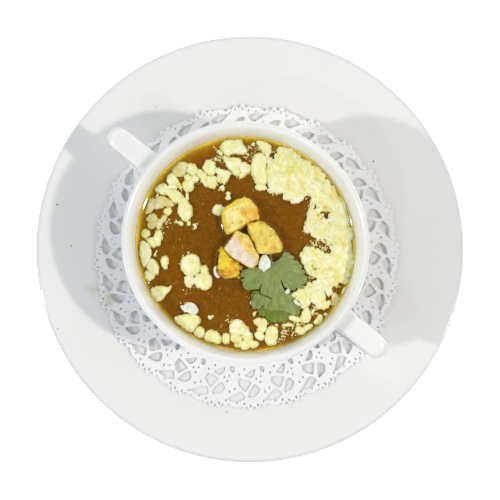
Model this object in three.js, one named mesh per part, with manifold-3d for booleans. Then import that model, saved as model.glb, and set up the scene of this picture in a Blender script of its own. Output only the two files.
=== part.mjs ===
// A white two-handled porcelain cup of chicken soup. It stands on a paper lace doily on a flat plate.
// The soup carries cubes of chicken, a coriander leaf and a wreath of pale curds.
// Millimetres, +Z up. The origin is the middle of the plate's underside, and the handles lie along X.
import * as THREE from 'three';
import { mergeGeometries, mergeVertices } from 'three/addons/utils/BufferGeometryUtils.js';
import Module from 'manifold-3d';

const wasm = await Module();
wasm.setup();

// Driving dimensions
const plateRadius = 112.9;
const plateHeight = 15;
const plateThickness = 4.6;
const plateWellHeight = 7;
const plateWellRadius = 72;
const plateFootRadius = 60;
const plateFootWidth = 4;

const doilyRadius = 81;
const doilyThickness = 0.3;
const doilyUnits = 24;
const doilyBeads = 4;
const doilyFlatRadius = 36;
const doilyLift = 2.8;

const cupRadius = 60;
const cupHeight = 58;
const cupLip = 2.4;
const cupFootRadius = 31;
const cupFootHeight = 2.5;
const cupFloor = 7.2;
const soupDepth = 47;
// The cup went a little oval in the kiln, by this share and this far round from the handles.
const ovalShare = 0.0157;
const ovalTurn = THREE.MathUtils.degToRad(9.6);

const handleReach = 87.5;
const handleWidth = 11.6;
const handleThickness = 5;
const handleTop = 50.8;
const handleFoot = 28.5;
// Both straps were stuck on a little to one side of the cup's middle.
const handleAside = new THREE.Vector3(0.3, 0.9, 0);

const restGap = 0.05;
const fitGap = 0.3;

// The garnish was laid out looking from above, with the handles' line turned clockwise from level.
const viewTurn = THREE.MathUtils.degToRad(39);
const cupOffset = new THREE.Vector3(-2.2, -1.3, 0);
const doilyOffset = new THREE.Vector3(-1.8, -4.55, 0);
const garnishOffset = new THREE.Vector3(0.4, 0, 0);

const doilyBase = plateWellHeight + restGap;
const cupBase = doilyBase + doilyThickness + restGap;

// Seeded numbers between low and high, the same on each run.
function seeded(seed) {
  let state = seed;
  return (low, high) => {
    state = (state * 16807) % 2147483647;
    return low + ((high - low) * state) / 2147483647;
  };
}

// A closed solid from a geometry: shared corners are joined, slivers dropped, faces turned out.
function solidFrom(geometry) {
  const bare = geometry.clone();
  bare.deleteAttribute('normal');
  bare.deleteAttribute('uv');
  const merged = mergeVertices(bare, 1e-4);
  const corners = merged.index.array;
  const faces = [];
  for (let i = 0; i < corners.length; i += 3) {
    const [a, b, c] = [corners[i], corners[i + 1], corners[i + 2]];
    if (a !== b && b !== c && c !== a) {
      faces.push(a, b, c);
    }
  }
  const vertProperties = new Float32Array(merged.attributes.position.array);
  const build = (triVerts) => new wasm.Manifold(new wasm.Mesh({ numProp: 3, vertProperties, triVerts }));
  const solid = build(new Uint32Array(faces));
  return solid.volume() > 0 ? solid : build(new Uint32Array(faces.reverse()));
}

function joined(solids) {
  return solids.reduce((whole, solid) => whole.add(solid));
}

// One named piece from a solid.
function piece(name, solid, material, parent) {
  const mesh = solid.getMesh();
  const geometry = new THREE.BufferGeometry();
  geometry.setAttribute('position', new THREE.BufferAttribute(mesh.vertProperties, 3));
  geometry.setIndex(new THREE.BufferAttribute(mesh.triVerts, 1));
  geometry.computeVertexNormals();
  const object = new THREE.Mesh(geometry, material);
  object.name = name;
  parent.add(object);
  return object;
}

// A turned solid: a half outline in (radius, height), from the axis round to the axis.
function turned(outline, detail, sides) {
  const geometry = new THREE.LatheGeometry(outline.getPoints(detail), sides);
  geometry.rotateX(Math.PI / 2);
  return geometry;
}

// Moves each vertex of a geometry by a function of its place.
function reshape(geometry, move) {
  const spot = new THREE.Vector3();
  const position = geometry.attributes.position;
  for (let i = 0; i < position.count; i += 1) {
    spot.fromBufferAttribute(position, i);
    move(spot);
    position.setXYZ(i, spot.x, spot.y, spot.z);
  }
  return geometry;
}

const group = new THREE.Group();
const cupGroup = new THREE.Group();
cupGroup.position.copy(cupOffset.applyAxisAngle(new THREE.Vector3(0, 0, 1), viewTurn));
cupGroup.position.z = cupBase;
group.add(cupGroup);
const garnish = new THREE.Group();
garnish.rotation.z = viewTurn;
garnish.position.copy(garnishOffset.applyAxisAngle(new THREE.Vector3(0, 0, 1), viewTurn));
garnish.position.z = soupDepth;
cupGroup.add(garnish);

// Plate: a flat well inside a broad rim that rises gently to a rounded edge, on a low foot ring.
function plateSolid() {
  const recess = plateWellHeight - plateThickness;
  const edge = 1.3;
  const slope = 3.3;
  const sweep = 16;
  const outline = new THREE.Path();
  outline.moveTo(0, recess);
  outline.lineTo(plateFootRadius - plateFootWidth, recess);
  outline.lineTo(plateFootRadius - plateFootWidth * 0.7, 0);
  outline.lineTo(plateFootRadius, 0);
  outline.lineTo(plateFootRadius + plateFootWidth / 2, recess);
  outline.bezierCurveTo(
    plateWellRadius + 4, recess, plateWellRadius + sweep, recess + slope, plateRadius, plateHeight - edge * 2);
  outline.bezierCurveTo(
    plateRadius, plateHeight - edge * 0.4, plateRadius - edge * 0.7, plateHeight + edge * 0.3,
    plateRadius - edge * 1.8, plateHeight - edge * 0.3);
  outline.bezierCurveTo(
    plateRadius - sweep, plateHeight - slope, plateWellRadius + sweep / 2, plateWellHeight,
    plateWellRadius, plateWellHeight);
  outline.lineTo(0, plateWellHeight);
  return solidFrom(turned(outline, 3, 56));
}

// Doily: a thin paper disc with a beaded edge. It lies flat under the cup's foot and lifts off the plate
// outside it. Each unit of its lace has a wedge, a drop and a petal cut out.
function doilySolid() {
  const unit = (Math.PI * 2) / doilyUnits;
  const around = (radius, angle) => new THREE.Vector2(radius * Math.cos(angle), radius * Math.sin(angle));
  const edge = [];
  const beads = doilyUnits * doilyBeads;
  for (let bead = 0; bead < beads; bead += 1) {
    const start = (bead * unit) / doilyBeads;
    edge.push(around(doilyRadius - 1.1, start));
    edge.push(around(doilyRadius, start + (unit / doilyBeads) * 0.5));
  }
  const shape = new THREE.Shape(edge);
  const middle = (Path) => new Path().absarc(0, 0, doilyFlatRadius - 1, 0, Math.PI * 2, true);
  shape.holes.push(middle(THREE.Path));
  const cuts = [
    // wedge
    [[64.4, -0.05], [70.2, 0.02], [71.4, -0.2], [66, -0.3]],
    // drop
    [[69, 0.16], [69.8, 0.32], [74.4, 0.3], [73.6, 0.05]],
    // petal
    [[74.6, -0.03], [77.6, -0.1], [77.2, -0.4], [72.6, -0.37], [71.6, -0.2]],
  ];
  for (let i = 0; i < doilyUnits; i += 1) {
    for (const cut of cuts) {
      const hole = new THREE.Path(cut.map(([radius, turn]) => around(radius, (i + turn) * unit)));
      shape.holes.push(hole);
    }
  }
  const flat = { depth: doilyThickness, curveSegments: doilyUnits, bevelEnabled: false };
  const lace = reshape(new THREE.ExtrudeGeometry(shape, flat), (spot) => {
    const out = (Math.hypot(spot.x, spot.y) - doilyFlatRadius) / (doilyRadius - doilyFlatRadius);
    spot.z += doilyLift * Math.max(out, 0) ** 0.7;
  });
  return solidFrom(lace).add(solidFrom(new THREE.ExtrudeGeometry(middle(THREE.Shape), flat)));
}

// Cup: a deep round bowl on a foot ring. Its lip is rounded outside and flares gently inside.
const cupSides = 50;
const cupDetail = 4;
const lipRadius = cupLip / 2;
const throat = new THREE.Vector2(cupRadius - 6, soupDepth + 1);
const cupInside = new THREE.CubicBezierCurve(
  throat,
  new THREE.Vector2(throat.x - 2.5, throat.y - 10),
  new THREE.Vector2(cupRadius - 12.5, cupFloor + 1.2),
  new THREE.Vector2(22, cupFloor),
);

function oval(geometry) {
  return reshape(geometry, (spot) => {
    const stretch = 1 + ovalShare * Math.cos(2 * (Math.atan2(spot.y, spot.x) - ovalTurn));
    spot.x *= stretch;
    spot.y *= stretch;
  });
}

function cupBody() {
  const outline = new THREE.Path();
  outline.moveTo(0, cupFootHeight);
  outline.lineTo(cupFootRadius - 4, cupFootHeight);
  outline.lineTo(cupFootRadius - 3, 0);
  outline.lineTo(cupFootRadius, 0);
  outline.lineTo(cupFootRadius + 0.6, cupFootHeight + 1.5);
  outline.bezierCurveTo(50, 8, 58, 27, cupRadius, cupHeight - lipRadius);
  const crown = cupHeight + lipRadius / 3;
  outline.bezierCurveTo(cupRadius, crown, cupRadius - lipRadius, crown, cupRadius - cupLip, cupHeight - 0.3);
  // The lip flares inward to the throat, steeply at first.
  const flare = new THREE.Vector2(throat.x + 1.7, cupHeight - 1.4);
  const ease = new THREE.Vector2(throat.x + 0.7, throat.y + 3.6);
  outline.bezierCurveTo(flare.x, flare.y, ease.x, ease.y, throat.x, throat.y);
  const { v1, v2, v3 } = cupInside;
  outline.bezierCurveTo(v1.x, v1.y, v2.x, v2.y, v3.x, v3.y);
  outline.lineTo(0, cupFloor);
  return solidFrom(oval(turned(outline, cupDetail, cupSides)));
}

// Handle: a flat strap that leaves the wall under the lip, turns down and runs back to the wall.
function handleSolid() {
  const outer = handleReach - handleThickness / 2;
  const route = new THREE.CatmullRomCurve3([
    new THREE.Vector3(cupRadius - 3.4, 0, handleTop - 0.4),
    new THREE.Vector3(cupRadius + 6, 0, handleTop),
    new THREE.Vector3(outer - 5, 0, handleTop),
    new THREE.Vector3(outer - 1, 0, handleTop - 1.5),
    new THREE.Vector3(outer, 0, handleTop - 5.6),
    new THREE.Vector3(outer - 1.8, 0, handleTop - 11.4),
    new THREE.Vector3(outer - 8, 0, handleFoot + 6.4),
    new THREE.Vector3(cupRadius + 6, 0, handleFoot + 3),
    new THREE.Vector3(cupRadius - 6.5, 0, handleFoot),
  ]);
  const round = 2.1;
  const wide = handleWidth / 2 - round;
  const thick = handleThickness / 2 - round;
  const section = new THREE.Shape();
  section.absarc(wide, thick, round, 0, Math.PI / 2);
  section.absarc(-wide, thick, round, Math.PI / 2, Math.PI);
  section.absarc(-wide, -thick, round, Math.PI, Math.PI * 1.5);
  section.absarc(wide, -thick, round, Math.PI * 1.5, Math.PI * 2);
  const strap = new THREE.ExtrudeGeometry(section, { steps: 19, curveSegments: 1, extrudePath: route });
  // Seen from above the strap ends in a rounded tongue.
  const tongue = 8;
  const narrowing = 0.88;
  return reshape(strap, (spot) => {
    const along = Math.max((spot.x - handleReach + tongue) / tongue, 0);
    spot.y *= Math.sqrt(1 - narrowing * along * along);
  });
}

function cupSolid() {
  const handle = handleSolid();
  const opposite = handle.clone().rotateZ(Math.PI);
  const straps = [handle, opposite].map((strap) => solidFrom(strap.translate(...handleAside)));
  return joined([cupBody(), ...straps]);
}

// Chicken: cubes of cooked breast that stand in the soup. The corners are (x, y) seen from above.
const chickenSink = 7;
const chickenCubes = [
  {
    name: 'chicken_back', top: 8, slope: [0.03, -0.05],
    corners: [[-12, 10.4], [-10.9, 14.8], [-7.3, 18.7], [0.6, 22.4], [4.8, 20.9], [6.5, 13.9], [6, 12],
      [-0.3, 10.2], [-8.3, 4.9], [-10.5, 6.2]],
  },
  {
    name: 'chicken_side', top: 6.6, slope: [-0.08, 0.02],
    corners: [[0.8, 9.6], [7.6, 11.2], [13.2, 7.8], [18, -0.2], [17.2, -4.3], [6.6, -5.7], [2, 3.4]],
  },
  {
    name: 'chicken_cut', top: 6.9, slope: [0.02, 0.06],
    corners: [[-10.5, -1.9], [-4.3, 6], [0.6, 4.4], [5.7, -5.4], [5.2, -10.6], [2.4, -12.2], [-4.1, -8.3]],
  },
  {
    name: 'chicken_front', top: 5.2, slope: [-0.05, 0.05],
    corners: [[-15.1, -9.8], [-12.8, -2.2], [-11, -2.9], [-7.3, -7.2], [-1.9, -12.6], [-2.6, -17.5], [-12.2, -16.6],
      [-14.2, -13.4]],
  },
];

function outlineOf(corners) {
  return new THREE.Shape(corners.map(([x, y]) => new THREE.Vector2(x, y)));
}

function chickenSolid({ corners, top, slope }) {
  const round = 1.1;
  const cube = new THREE.ExtrudeGeometry(outlineOf(corners), {
    depth: top + chickenSink - round * 2,
    bevelThickness: round,
    bevelSize: round,
    bevelOffset: -round - fitGap,
    bevelSegments: 2,
  });
  cube.translate(0, 0, round - chickenSink);
  return solidFrom(reshape(cube, (spot) => {
    if (spot.z > 0) {
      spot.z += slope[0] * spot.x + slope[1] * spot.y;
    }
  }));
}

function chickenPocket({ corners }) {
  const depth = chickenSink + fitGap + 2;
  const pocket = new THREE.ExtrudeGeometry(outlineOf(corners), { depth, bevelEnabled: false });
  pocket.translate(0, 0, -chickenSink - fitGap);
  pocket.rotateZ(viewTurn);
  pocket.translate(garnish.position.x, garnish.position.y, soupDepth);
  return solidFrom(pocket);
}

// Soup: fills the cup up to its level, with pockets round the chicken.
function soupSolid() {
  const wall = cupInside.getPoints(cupDetail);
  const next = wall.findIndex((point) => point.y < soupDepth);
  const [above, below] = [wall[next - 1], wall[next]];
  const brim = THREE.MathUtils.mapLinear(soupDepth, above.y, below.y, above.x, below.x);
  const outline = new THREE.Path();
  outline.moveTo(0, cupFloor + fitGap);
  for (const point of wall.slice(next).reverse().filter(({ y }) => y < soupDepth - fitGap * 3)) {
    outline.lineTo(point.x - fitGap, point.y + fitGap);
  }
  outline.lineTo(brim - fitGap, soupDepth);
  outline.lineTo(0, soupDepth);
  return solidFrom(oval(turned(outline, 1, cupSides))).subtract(joined(chickenCubes.map(chickenPocket)));
}

// Curds: each is one or more lumps of (x, y, length, width, turn in degrees), seen from above.
const curds = [
  [[-6.6, 47.6, 11.9, 7.2, 8]],
  [[-7.3, 40.2, 7.6, 6.2, -30], [-3, 37.9, 6.6, 4.8, 15]],
  [[8.2, 48.4, 4.6, 6, 30]],
  [[6.6, 36.9, 6.2, 15.4, 4]],
  [[-12.4, 34.9, 5.6, 4.6, -20], [-10.6, 31.6, 3.6, 3.2, 0]],
  [[-18.3, 38.6, 5.2, 6.8, -8]],
  [[-17.4, 31.1, 6.4, 5.8, 0]],
  [[-14, 16.7, 5.4, 5, 20]],
  [[-33, 37.3, 7.4, 6.2, 40]],
  [[-26.7, 37.2, 4.4, 5.8, 10], [-23, 35.2, 3.8, 3.6, 0]],
  [[-28.8, 28.9, 5.2, 5, 30], [-29.4, 32.4, 3.8, 3.6, 0]],
  [[-36.9, 32.6, 4.2, 5, 20]],
  [[-41.6, 27.4, 6.6, 3.6, -22], [-37, 25.4, 7, 4.6, -30], [-33.4, 21.8, 5.4, 7, 40], [-30.4, 16.6, 5.6, 8.8, 10]],
  [[-42.6, 20.3, 9.8, 3.8, 18]],
  [[-47, 13, 4.8, 4, 0], [-47.3, 9.9, 3.8, 3.8, 0]],
  [[-43.4, 10, 3.8, 4, 0], [-41.6, 11.7, 4, 3, 45]],
  [[-39, 16, 3.6, 3.4, 0]],
  [[-43.2, 2.9, 4, 7.2, -10], [-46.2, 1.2, 5.4, 3, 10]],
  [[-49.6, 5.7, 4, 4, 0]],
  [[-49.6, -5.6, 4.8, 10.6, 4]],
  [[-45.6, -11.8, 5.4, 7, 20], [-47.2, -16, 5, 4.4, 0]],
  [[-40.2, -8.8, 3.4, 5.6, 0]],
  [[-27.4, -11, 8.8, 8.4, 0], [-21.1, -17.7, 8.4, 8.8, 0], [-27, -16.8, 5.4, 6.8, 0], [-21.4, -13.4, 3.8, 4.4, 0]],
  [[-42.4, -24.2, 6.8, 6.2, -30], [-38.6, -21.8, 4.6, 2.4, 35]],
  [[-29, -38.5, 11.6, 8.6, 20]],
  [[-22.6, -43.6, 4.6, 4.4, 0]],
  [[-16.6, -46.4, 7.6, 7.2, 0]],
  [[-10, -46.7, 3.8, 4.6, 0]],
  [[-4.3, -41.2, 7.2, 7.4, 0], [-4.6, -45.8, 5.2, 4.6, 0], [0.2, -44.8, 5.6, 6.8, 0], [-0.4, -48.7, 6.2, 4, 0],
    [3.4, -48.8, 5.2, 4, 0]],
  [[6.6, -38.9, 4.6, 3.4, -20], [8.1, -41.4, 3.6, 5.4, 0], [7, -44.2, 4.2, 3.8, -30]],
  [[12.6, -45.4, 5.6, 8.6, -6]],
  [[28.8, -34.8, 4.4, 6.8, -12]],
  [[35, -26.6, 10.2, 6.6, -20], [37.6, -30.4, 5.4, 4, 0]],
  [[43.8, -26.4, 3.6, 6, -25]],
  [[35.6, -36.4, 4.2, 3.6, 30]],
  [[26.4, -42.6, 6, 3, 25], [31, -40.2, 5.6, 3, 40]],
];

// A lump of curd: a low dome on a flat underside, with an uneven outline and crown.
function lumpSolid([x, y, length, width, turn], draw) {
  const dome = new THREE.Path();
  dome.moveTo(0, 0);
  dome.lineTo(0.9, 0);
  dome.lineTo(1, 0.32);
  dome.lineTo(0.76, 0.82);
  dome.lineTo(0, 1);
  const height = 0.9 + Math.min(length, width) * 0.33;
  const phases = [draw(0, 6), draw(0, 6), draw(0, 6)];
  const lump = reshape(turned(dome, 1, 8), (spot) => {
    const angle = Math.atan2(spot.y, spot.x);
    const swell = 1 + 0.07 * Math.cos(2 * angle + phases[0]) + 0.06 * Math.cos(3 * angle + phases[1]);
    spot.x *= (swell * length) / 2;
    spot.y *= (swell * width) / 2;
    spot.z *= height * (1 + 0.12 * Math.cos(angle + phases[2]) * (1 - spot.z));
  });
  lump.rotateZ(THREE.MathUtils.degToRad(turn));
  lump.translate(x, y, restGap);
  return solidFrom(lump);
}

// A plain round column that holds whatever floats inside the cup's wall.
function insideWall(radius) {
  const column = new THREE.CylinderGeometry(radius, radius, 40, 60).rotateX(Math.PI / 2);
  return solidFrom(column.translate(-garnish.position.x, -garnish.position.y, 0));
}

// Drift: the heap of fine curd that covers the soup on the right. It is a thin bank with lumps fused on.
const driftRadius = 50.6;
const driftDepth = 1.5;
const driftFrom = -22;
const driftTo = 77;
const driftShore = [[11.2, 47], [10.7, 38], [10.9, 28], [18.4, 25.4], [20, 21.4], [25.4, 20.4], [31.5, 22.8],
  [34, 19.4], [31.2, 13], [29, 9], [32, 4.4], [35.2, 0.4], [30.6, -2.4], [28.4, -7.8], [32.2, -14.2], [33.5, -19.4]];

function driftSolid() {
  const shape = new THREE.Shape();
  shape.absarc(0, 0, driftRadius, THREE.MathUtils.degToRad(driftFrom), THREE.MathUtils.degToRad(driftTo));
  shape.splineThru(driftShore.map(([x, y]) => new THREE.Vector2(x, y)));
  const bank = new THREE.ExtrudeGeometry(shape, { depth: driftDepth, curveSegments: 2, bevelEnabled: false });
  bank.translate(0, 0, restGap);
  const draw = seeded(811);
  const lumps = [];
  const rows = [{ radius: 47, size: 6.4 }, { radius: 41, size: 7 }, { radius: 35, size: 6.4 }];
  const shoreReach = [[77, 44], [66, 32], [50, 33], [36, 40], [20, 34], [8, 35], [0, 38], [-12, 33], [-22, 36]];
  const reachAt = (degrees) => {
    const i = Math.max(shoreReach.findIndex(([angle]) => angle <= degrees), 1);
    const [a, b] = [shoreReach[i - 1], shoreReach[i]];
    return THREE.MathUtils.mapLinear(degrees, a[0], b[0], a[1], b[1]);
  };
  for (const { radius, size } of rows) {
    const step = THREE.MathUtils.radToDeg(size / radius);
    for (let degrees = driftFrom + step * 0.7; degrees < driftTo - step * 0.6; degrees += step) {
      const angle = THREE.MathUtils.degToRad(degrees + draw(-1.5, 1.5));
      const out = radius + draw(-1.2, 1.2);
      if (out - size / 2 > reachAt(degrees) - 1) {
        const spot = [out * Math.cos(angle), out * Math.sin(angle)];
        lumps.push(lumpSolid([...spot, size * draw(0.75, 1.2), size * draw(0.6, 1), draw(0, 180)], draw));
      }
    }
  }
  return joined([solidFrom(bank), ...lumps]).intersect(insideWall(driftRadius + 1.6));
}

// Leaf: lobes with toothed edges fan out from the stem. The pairs are (degrees, reach in mm) about its foot.
const leafFoot = new THREE.Vector2(12.4, -10.2);
const leafThickness = 0.4;
const leafReach = [[45, 2], [41, 9.3], [22, 10.6], [8, 13.4], [-8, 16.6], [-22, 19.2], [-38, 19.4], [-50, 17],
  [-55, 13.6], [-57, 9.5], [-59, 25.2], [-64, 27.6], [-72, 25], [-85, 23.4], [-99, 22.6], [-103, 19.6], [-108, 22.8],
  [-116, 22.2], [-119, 12.5], [-123, 15.4], [-134, 17], [-148, 15], [-160, 13.4], [-168, 10], [-171, 3]];
const underFoot = new THREE.Vector2(13.2, -20);
const underReach = [[45, 3], [10, 5], [-30, 6], [-62, 15.5], [-75, 18.2], [-95, 18.4], [-112, 17.6], [-125, 15],
  [-150, 12], [-171, 4]];

function leafSolid(foot, reaches, height, toothWidth, sides) {
  const [first, last] = [reaches[0][0], reaches[reaches.length - 1][0]];
  const spread = 0.92;
  const reachAt = (degrees) => {
    const i = Math.max(reaches.findIndex(([angle]) => angle <= degrees), 1);
    const [a, b] = [reaches[i - 1], reaches[i]];
    const tooth = Math.abs(((degrees / toothWidth) % 1) * 2 + 1);
    return THREE.MathUtils.mapLinear(degrees, a[0], b[0], a[1], b[1]) * (0.95 + 0.08 * tooth);
  };
  const top = new THREE.RingGeometry(0, 1, sides, 2).translate(0, 0, leafThickness);
  const underside = new THREE.RingGeometry(0, 1, sides, 2);
  underside.index.array.reverse();
  const band = new THREE.CylinderGeometry(1, 1, leafThickness, sides, 1, true);
  band.rotateX(Math.PI / 2).translate(0, 0, leafThickness / 2);
  const leaf = mergeGeometries([top, underside, band]);
  return solidFrom(reshape(leaf, (spot) => {
    const radius = Math.hypot(spot.x, spot.y);
    const share = (Math.atan2(spot.y, spot.x) / (Math.PI * 2) + 1) % 1;
    const onLobes = share < spread;
    const degrees = onLobes ? first + ((last - first) * share) / spread
      : last + ((first - 360 - last) * (share - spread)) / (1 - spread);
    const reach = radius * (onLobes ? reachAt(degrees) : 2);
    const angle = THREE.MathUtils.degToRad(degrees);
    spot.x = foot.x + reach * Math.cos(angle);
    spot.y = foot.y + reach * Math.sin(angle);
    spot.z += height + 0.02 * reach * (1 + Math.cos(angle * 7)) + 0.25 * Math.sin(reach * 0.4);
  }));
}

// White chips: small petals of onion of (x, y, length, width, turn), each at a height over the soup.
const chips = [
  { height: 2.9, petal: [9.2, -9.4, 4.6, 6.6, 0] },
  { height: 0, petal: [-15.7, -14.9, 1.9, 4.4, 18] },
  { height: 0, petal: [-27.2, -31.3, 7.4, 4.2, -15] },
];

const porcelain = new THREE.MeshStandardMaterial({ color: '#f2f2f0', roughness: 0.18, metalness: 0 });
const glaze = new THREE.MeshStandardMaterial({ color: '#f4f4f2', roughness: 0.15, metalness: 0 });
const paper = new THREE.MeshStandardMaterial({ color: '#f3f3f5', roughness: 0.9, metalness: 0 });
const broth = new THREE.MeshStandardMaterial({ color: '#80520f', roughness: 0.12, metalness: 0 });

piece('plate', plateSolid(), porcelain, group);
const doily = piece('doily', doilySolid(), paper, group);
doily.position.copy(doilyOffset.applyAxisAngle(new THREE.Vector3(0, 0, 1), viewTurn));
doily.position.z = doilyBase;
doily.rotation.z = viewTurn;
piece('cup', cupSolid(), glaze, cupGroup);
piece('soup', soupSolid(), broth, cupGroup);

const chickenColours = ['#e5c878', '#eacb55', '#ecdccb', '#eeb93a'];
chickenCubes.forEach((cube, i) => {
  const meat = new THREE.MeshStandardMaterial({ color: chickenColours[i], roughness: 0.45, metalness: 0 });
  piece(cube.name, chickenSolid(cube), meat, garnish);
});

const draw = seeded(427);
curds.forEach((lumps, i) => {
  const curd = joined(lumps.map((lump) => lumpSolid(lump, draw))).intersect(insideWall(driftRadius + 1.8));
  const pale = new THREE.MeshStandardMaterial({ color: '#f2edb8', roughness: 0.6, metalness: 0 });
  piece(`curd_${String(i + 1).padStart(2, '0')}`, curd, pale, garnish);
});
const bankColour = new THREE.MeshStandardMaterial({ color: '#efe9ae', roughness: 0.65, metalness: 0 });
piece('curd_drift', driftSolid(), bankColour, garnish);

const leafGreen = new THREE.MeshStandardMaterial({ color: '#86985a', roughness: 0.55, metalness: 0 });
const youngGreen = new THREE.MeshStandardMaterial({ color: '#738c23', roughness: 0.5, metalness: 0 });
piece('leaf', leafSolid(leafFoot, leafReach, 1.9, 8, 56), leafGreen, garnish);
piece('leaf_under', leafSolid(underFoot, underReach, 0.3, 9, 32), youngGreen, garnish);

chips.forEach(({ height, petal }, i) => {
  const white = new THREE.MeshStandardMaterial({ color: '#e4e5d8', roughness: 0.35, metalness: 0 });
  piece(`chip_${i + 1}`, lumpSolid(petal, draw).translate(0, 0, height), white, garnish);
});

export default group;
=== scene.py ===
import math
import random

import bmesh
import bpy
from mathutils import Matrix, Vector, geometry, noise


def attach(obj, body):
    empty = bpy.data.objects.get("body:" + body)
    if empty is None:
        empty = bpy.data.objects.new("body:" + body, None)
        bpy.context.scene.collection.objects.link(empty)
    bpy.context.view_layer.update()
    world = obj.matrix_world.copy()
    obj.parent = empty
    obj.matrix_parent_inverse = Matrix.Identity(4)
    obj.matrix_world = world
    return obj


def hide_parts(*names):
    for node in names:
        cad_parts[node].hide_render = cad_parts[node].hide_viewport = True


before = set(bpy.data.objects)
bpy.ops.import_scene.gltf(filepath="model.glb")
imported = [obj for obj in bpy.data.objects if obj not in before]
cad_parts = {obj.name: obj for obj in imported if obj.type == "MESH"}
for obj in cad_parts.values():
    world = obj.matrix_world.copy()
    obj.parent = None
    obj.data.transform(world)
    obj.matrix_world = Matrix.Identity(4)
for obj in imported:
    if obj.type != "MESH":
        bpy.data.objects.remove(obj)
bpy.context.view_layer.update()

# View: the dish is seen from almost straight above, turned so that its handles run from upper left to
# lower right. Two soft lamps stand left and right of it and a faint one in front, over a plain white floor.
MM = 0.001
VIEW_TURN = Matrix.Rotation(math.radians(39), 4, "Z")
CAMERA_AIM = Vector((0.04, -1.73, 14.8)) * MM
CAMERA_LEAN = math.radians(4)
CAMERA_AWAY = 0.6505
LAMP_SPREAD = 0.044

camera = bpy.data.objects.new("camera", bpy.data.cameras.new("camera"))
camera.matrix_world = (
    VIEW_TURN @ Matrix.Translation(CAMERA_AIM) @ Matrix.Rotation(CAMERA_LEAN, 4, "X")
    @ Matrix.Translation((0, 0, CAMERA_AWAY)))
camera.data.lens = 88.9
camera.data.sensor_width = 36
bpy.context.scene.collection.objects.link(camera)
bpy.context.scene.camera = camera
bpy.context.scene.view_settings.view_transform = "Standard"


def lamp(name, place, watts, colour):
    """A small square softbox at a place in millimetres, which shines on the middle of the dish."""
    place = VIEW_TURN @ Vector(place) * MM
    light = bpy.data.lights.new(name, "AREA")
    light.size = place.length * LAMP_SPREAD
    light.energy = watts
    light.color = colour
    softbox = bpy.data.objects.new(name, light)
    softbox.location = place
    softbox.rotation_euler = place.to_track_quat("Z", "Y").to_euler()
    bpy.context.scene.collection.objects.link(softbox)


lamp("lamp_right", (638, -176, 900), 4.3, (0.99, 0.86, 0.755))
lamp("lamp_left", (-1800, -278, 1500), 15.2, (1.0, 0.985, 0.95))
lamp("lamp_front", (-260, -389, 780), 0.53, (0.45, 0.62, 1.0))


def plug(tree, socket, value):
    """Sets a socket to a plain value, or wires another node's output to it."""
    if isinstance(value, bpy.types.NodeSocket):
        tree.links.new(value, socket)
    else:
        socket.default_value = value


def node(tree, kind, settings=None, **sockets):
    """Adds a node. A socket is given a plain value, or another node's output that it is wired to."""
    made = tree.nodes.new("ShaderNode" + kind)
    for name, value in (settings or {}).items():
        setattr(made, name, value)
    for name, value in sockets.items():
        plug(tree, made.inputs[name.replace("_", " ")], value)
    return made


def sums(tree, operation, *values):
    """One step of arithmetic on numbers or outputs."""
    made = node(tree, "Math", {"operation": operation})
    for socket, value in zip(made.inputs, values):
        plug(tree, socket, value)
    return made.outputs["Value"]


def vector_sums(tree, operation, *values):
    """One step of arithmetic on places or directions. Where it makes a number, it returns that."""
    made = node(tree, "VectorMath", {"operation": operation})
    for socket, value in zip(made.inputs, values):
        plug(tree, socket, value)
    return made.outputs["Value" if operation in ("DOT_PRODUCT", "DISTANCE", "LENGTH") else "Vector"]


def ramp(tree, factor, *stops):
    """Colours along a number. A stop is its position and its colour."""
    made = node(tree, "ValToRGB", Fac=factor)
    band = made.color_ramp
    while len(band.elements) < len(stops):
        band.elements.new(1)
    for element, (position, colour) in zip(band.elements, stops):
        element.position = position
        element.color = colour
    return made.outputs["Color"]


def rgb(red, green, blue):
    """A colour from its 0 to 255 values on a screen."""
    linear = [v / 255 / 12.92 if v < 10 else ((v / 255 + 0.055) / 1.055) ** 2.4 for v in (red, green, blue)]
    return (*linear, 1)


room = bpy.data.worlds.new("room")
room.use_nodes = True
bpy.context.scene.world = room
room_tree = room.node_tree
sky = node(room_tree, "TexCoord").outputs["Generated"]
sky_height = node(room_tree, "SeparateXYZ", Vector=sky).outputs["Z"]
walls_and_ceiling = ramp(
    room_tree, sky_height,
    (0.0, (0.75, 0.785, 0.80, 1)), (0.82, (0.79, 0.835, 0.845, 1)), (0.93, (0.08, 0.085, 0.09, 1)))
window_side = vector_sums(room_tree, "DOT_PRODUCT", sky, VIEW_TURN @ Vector((0.35, 0.94, 0)))
brightness = sums(room_tree, "MULTIPLY_ADD", window_side, 0.28, 1)
plug(room_tree, room_tree.nodes["Background"].inputs["Color"], walls_and_ceiling)
plug(room_tree, room_tree.nodes["Background"].inputs["Strength"], brightness)


def material(name, colour=None, **sockets):
    """A material with its main shader's sockets set. It returns the material, its tree and the shader."""
    made = bpy.data.materials.new(name)
    made.use_nodes = True
    shader = made.node_tree.nodes["Principled BSDF"]
    if colour:
        sockets["Base_Color"] = colour
    for socket, value in sockets.items():
        shader.inputs[socket.replace("_", " ")].default_value = value
    return made, made.node_tree, shader


def made_object(name, mesh, finish, smooth=True):
    """An object of a finished mesh in the scene, with its material."""
    data = bpy.data.meshes.new(name)
    mesh.to_mesh(data)
    mesh.free()
    for face in data.polygons:
        face.use_smooth = smooth
    data.materials.append(finish)
    thing = bpy.data.objects.new(name, data)
    bpy.context.scene.collection.objects.link(thing)
    return thing


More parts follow.
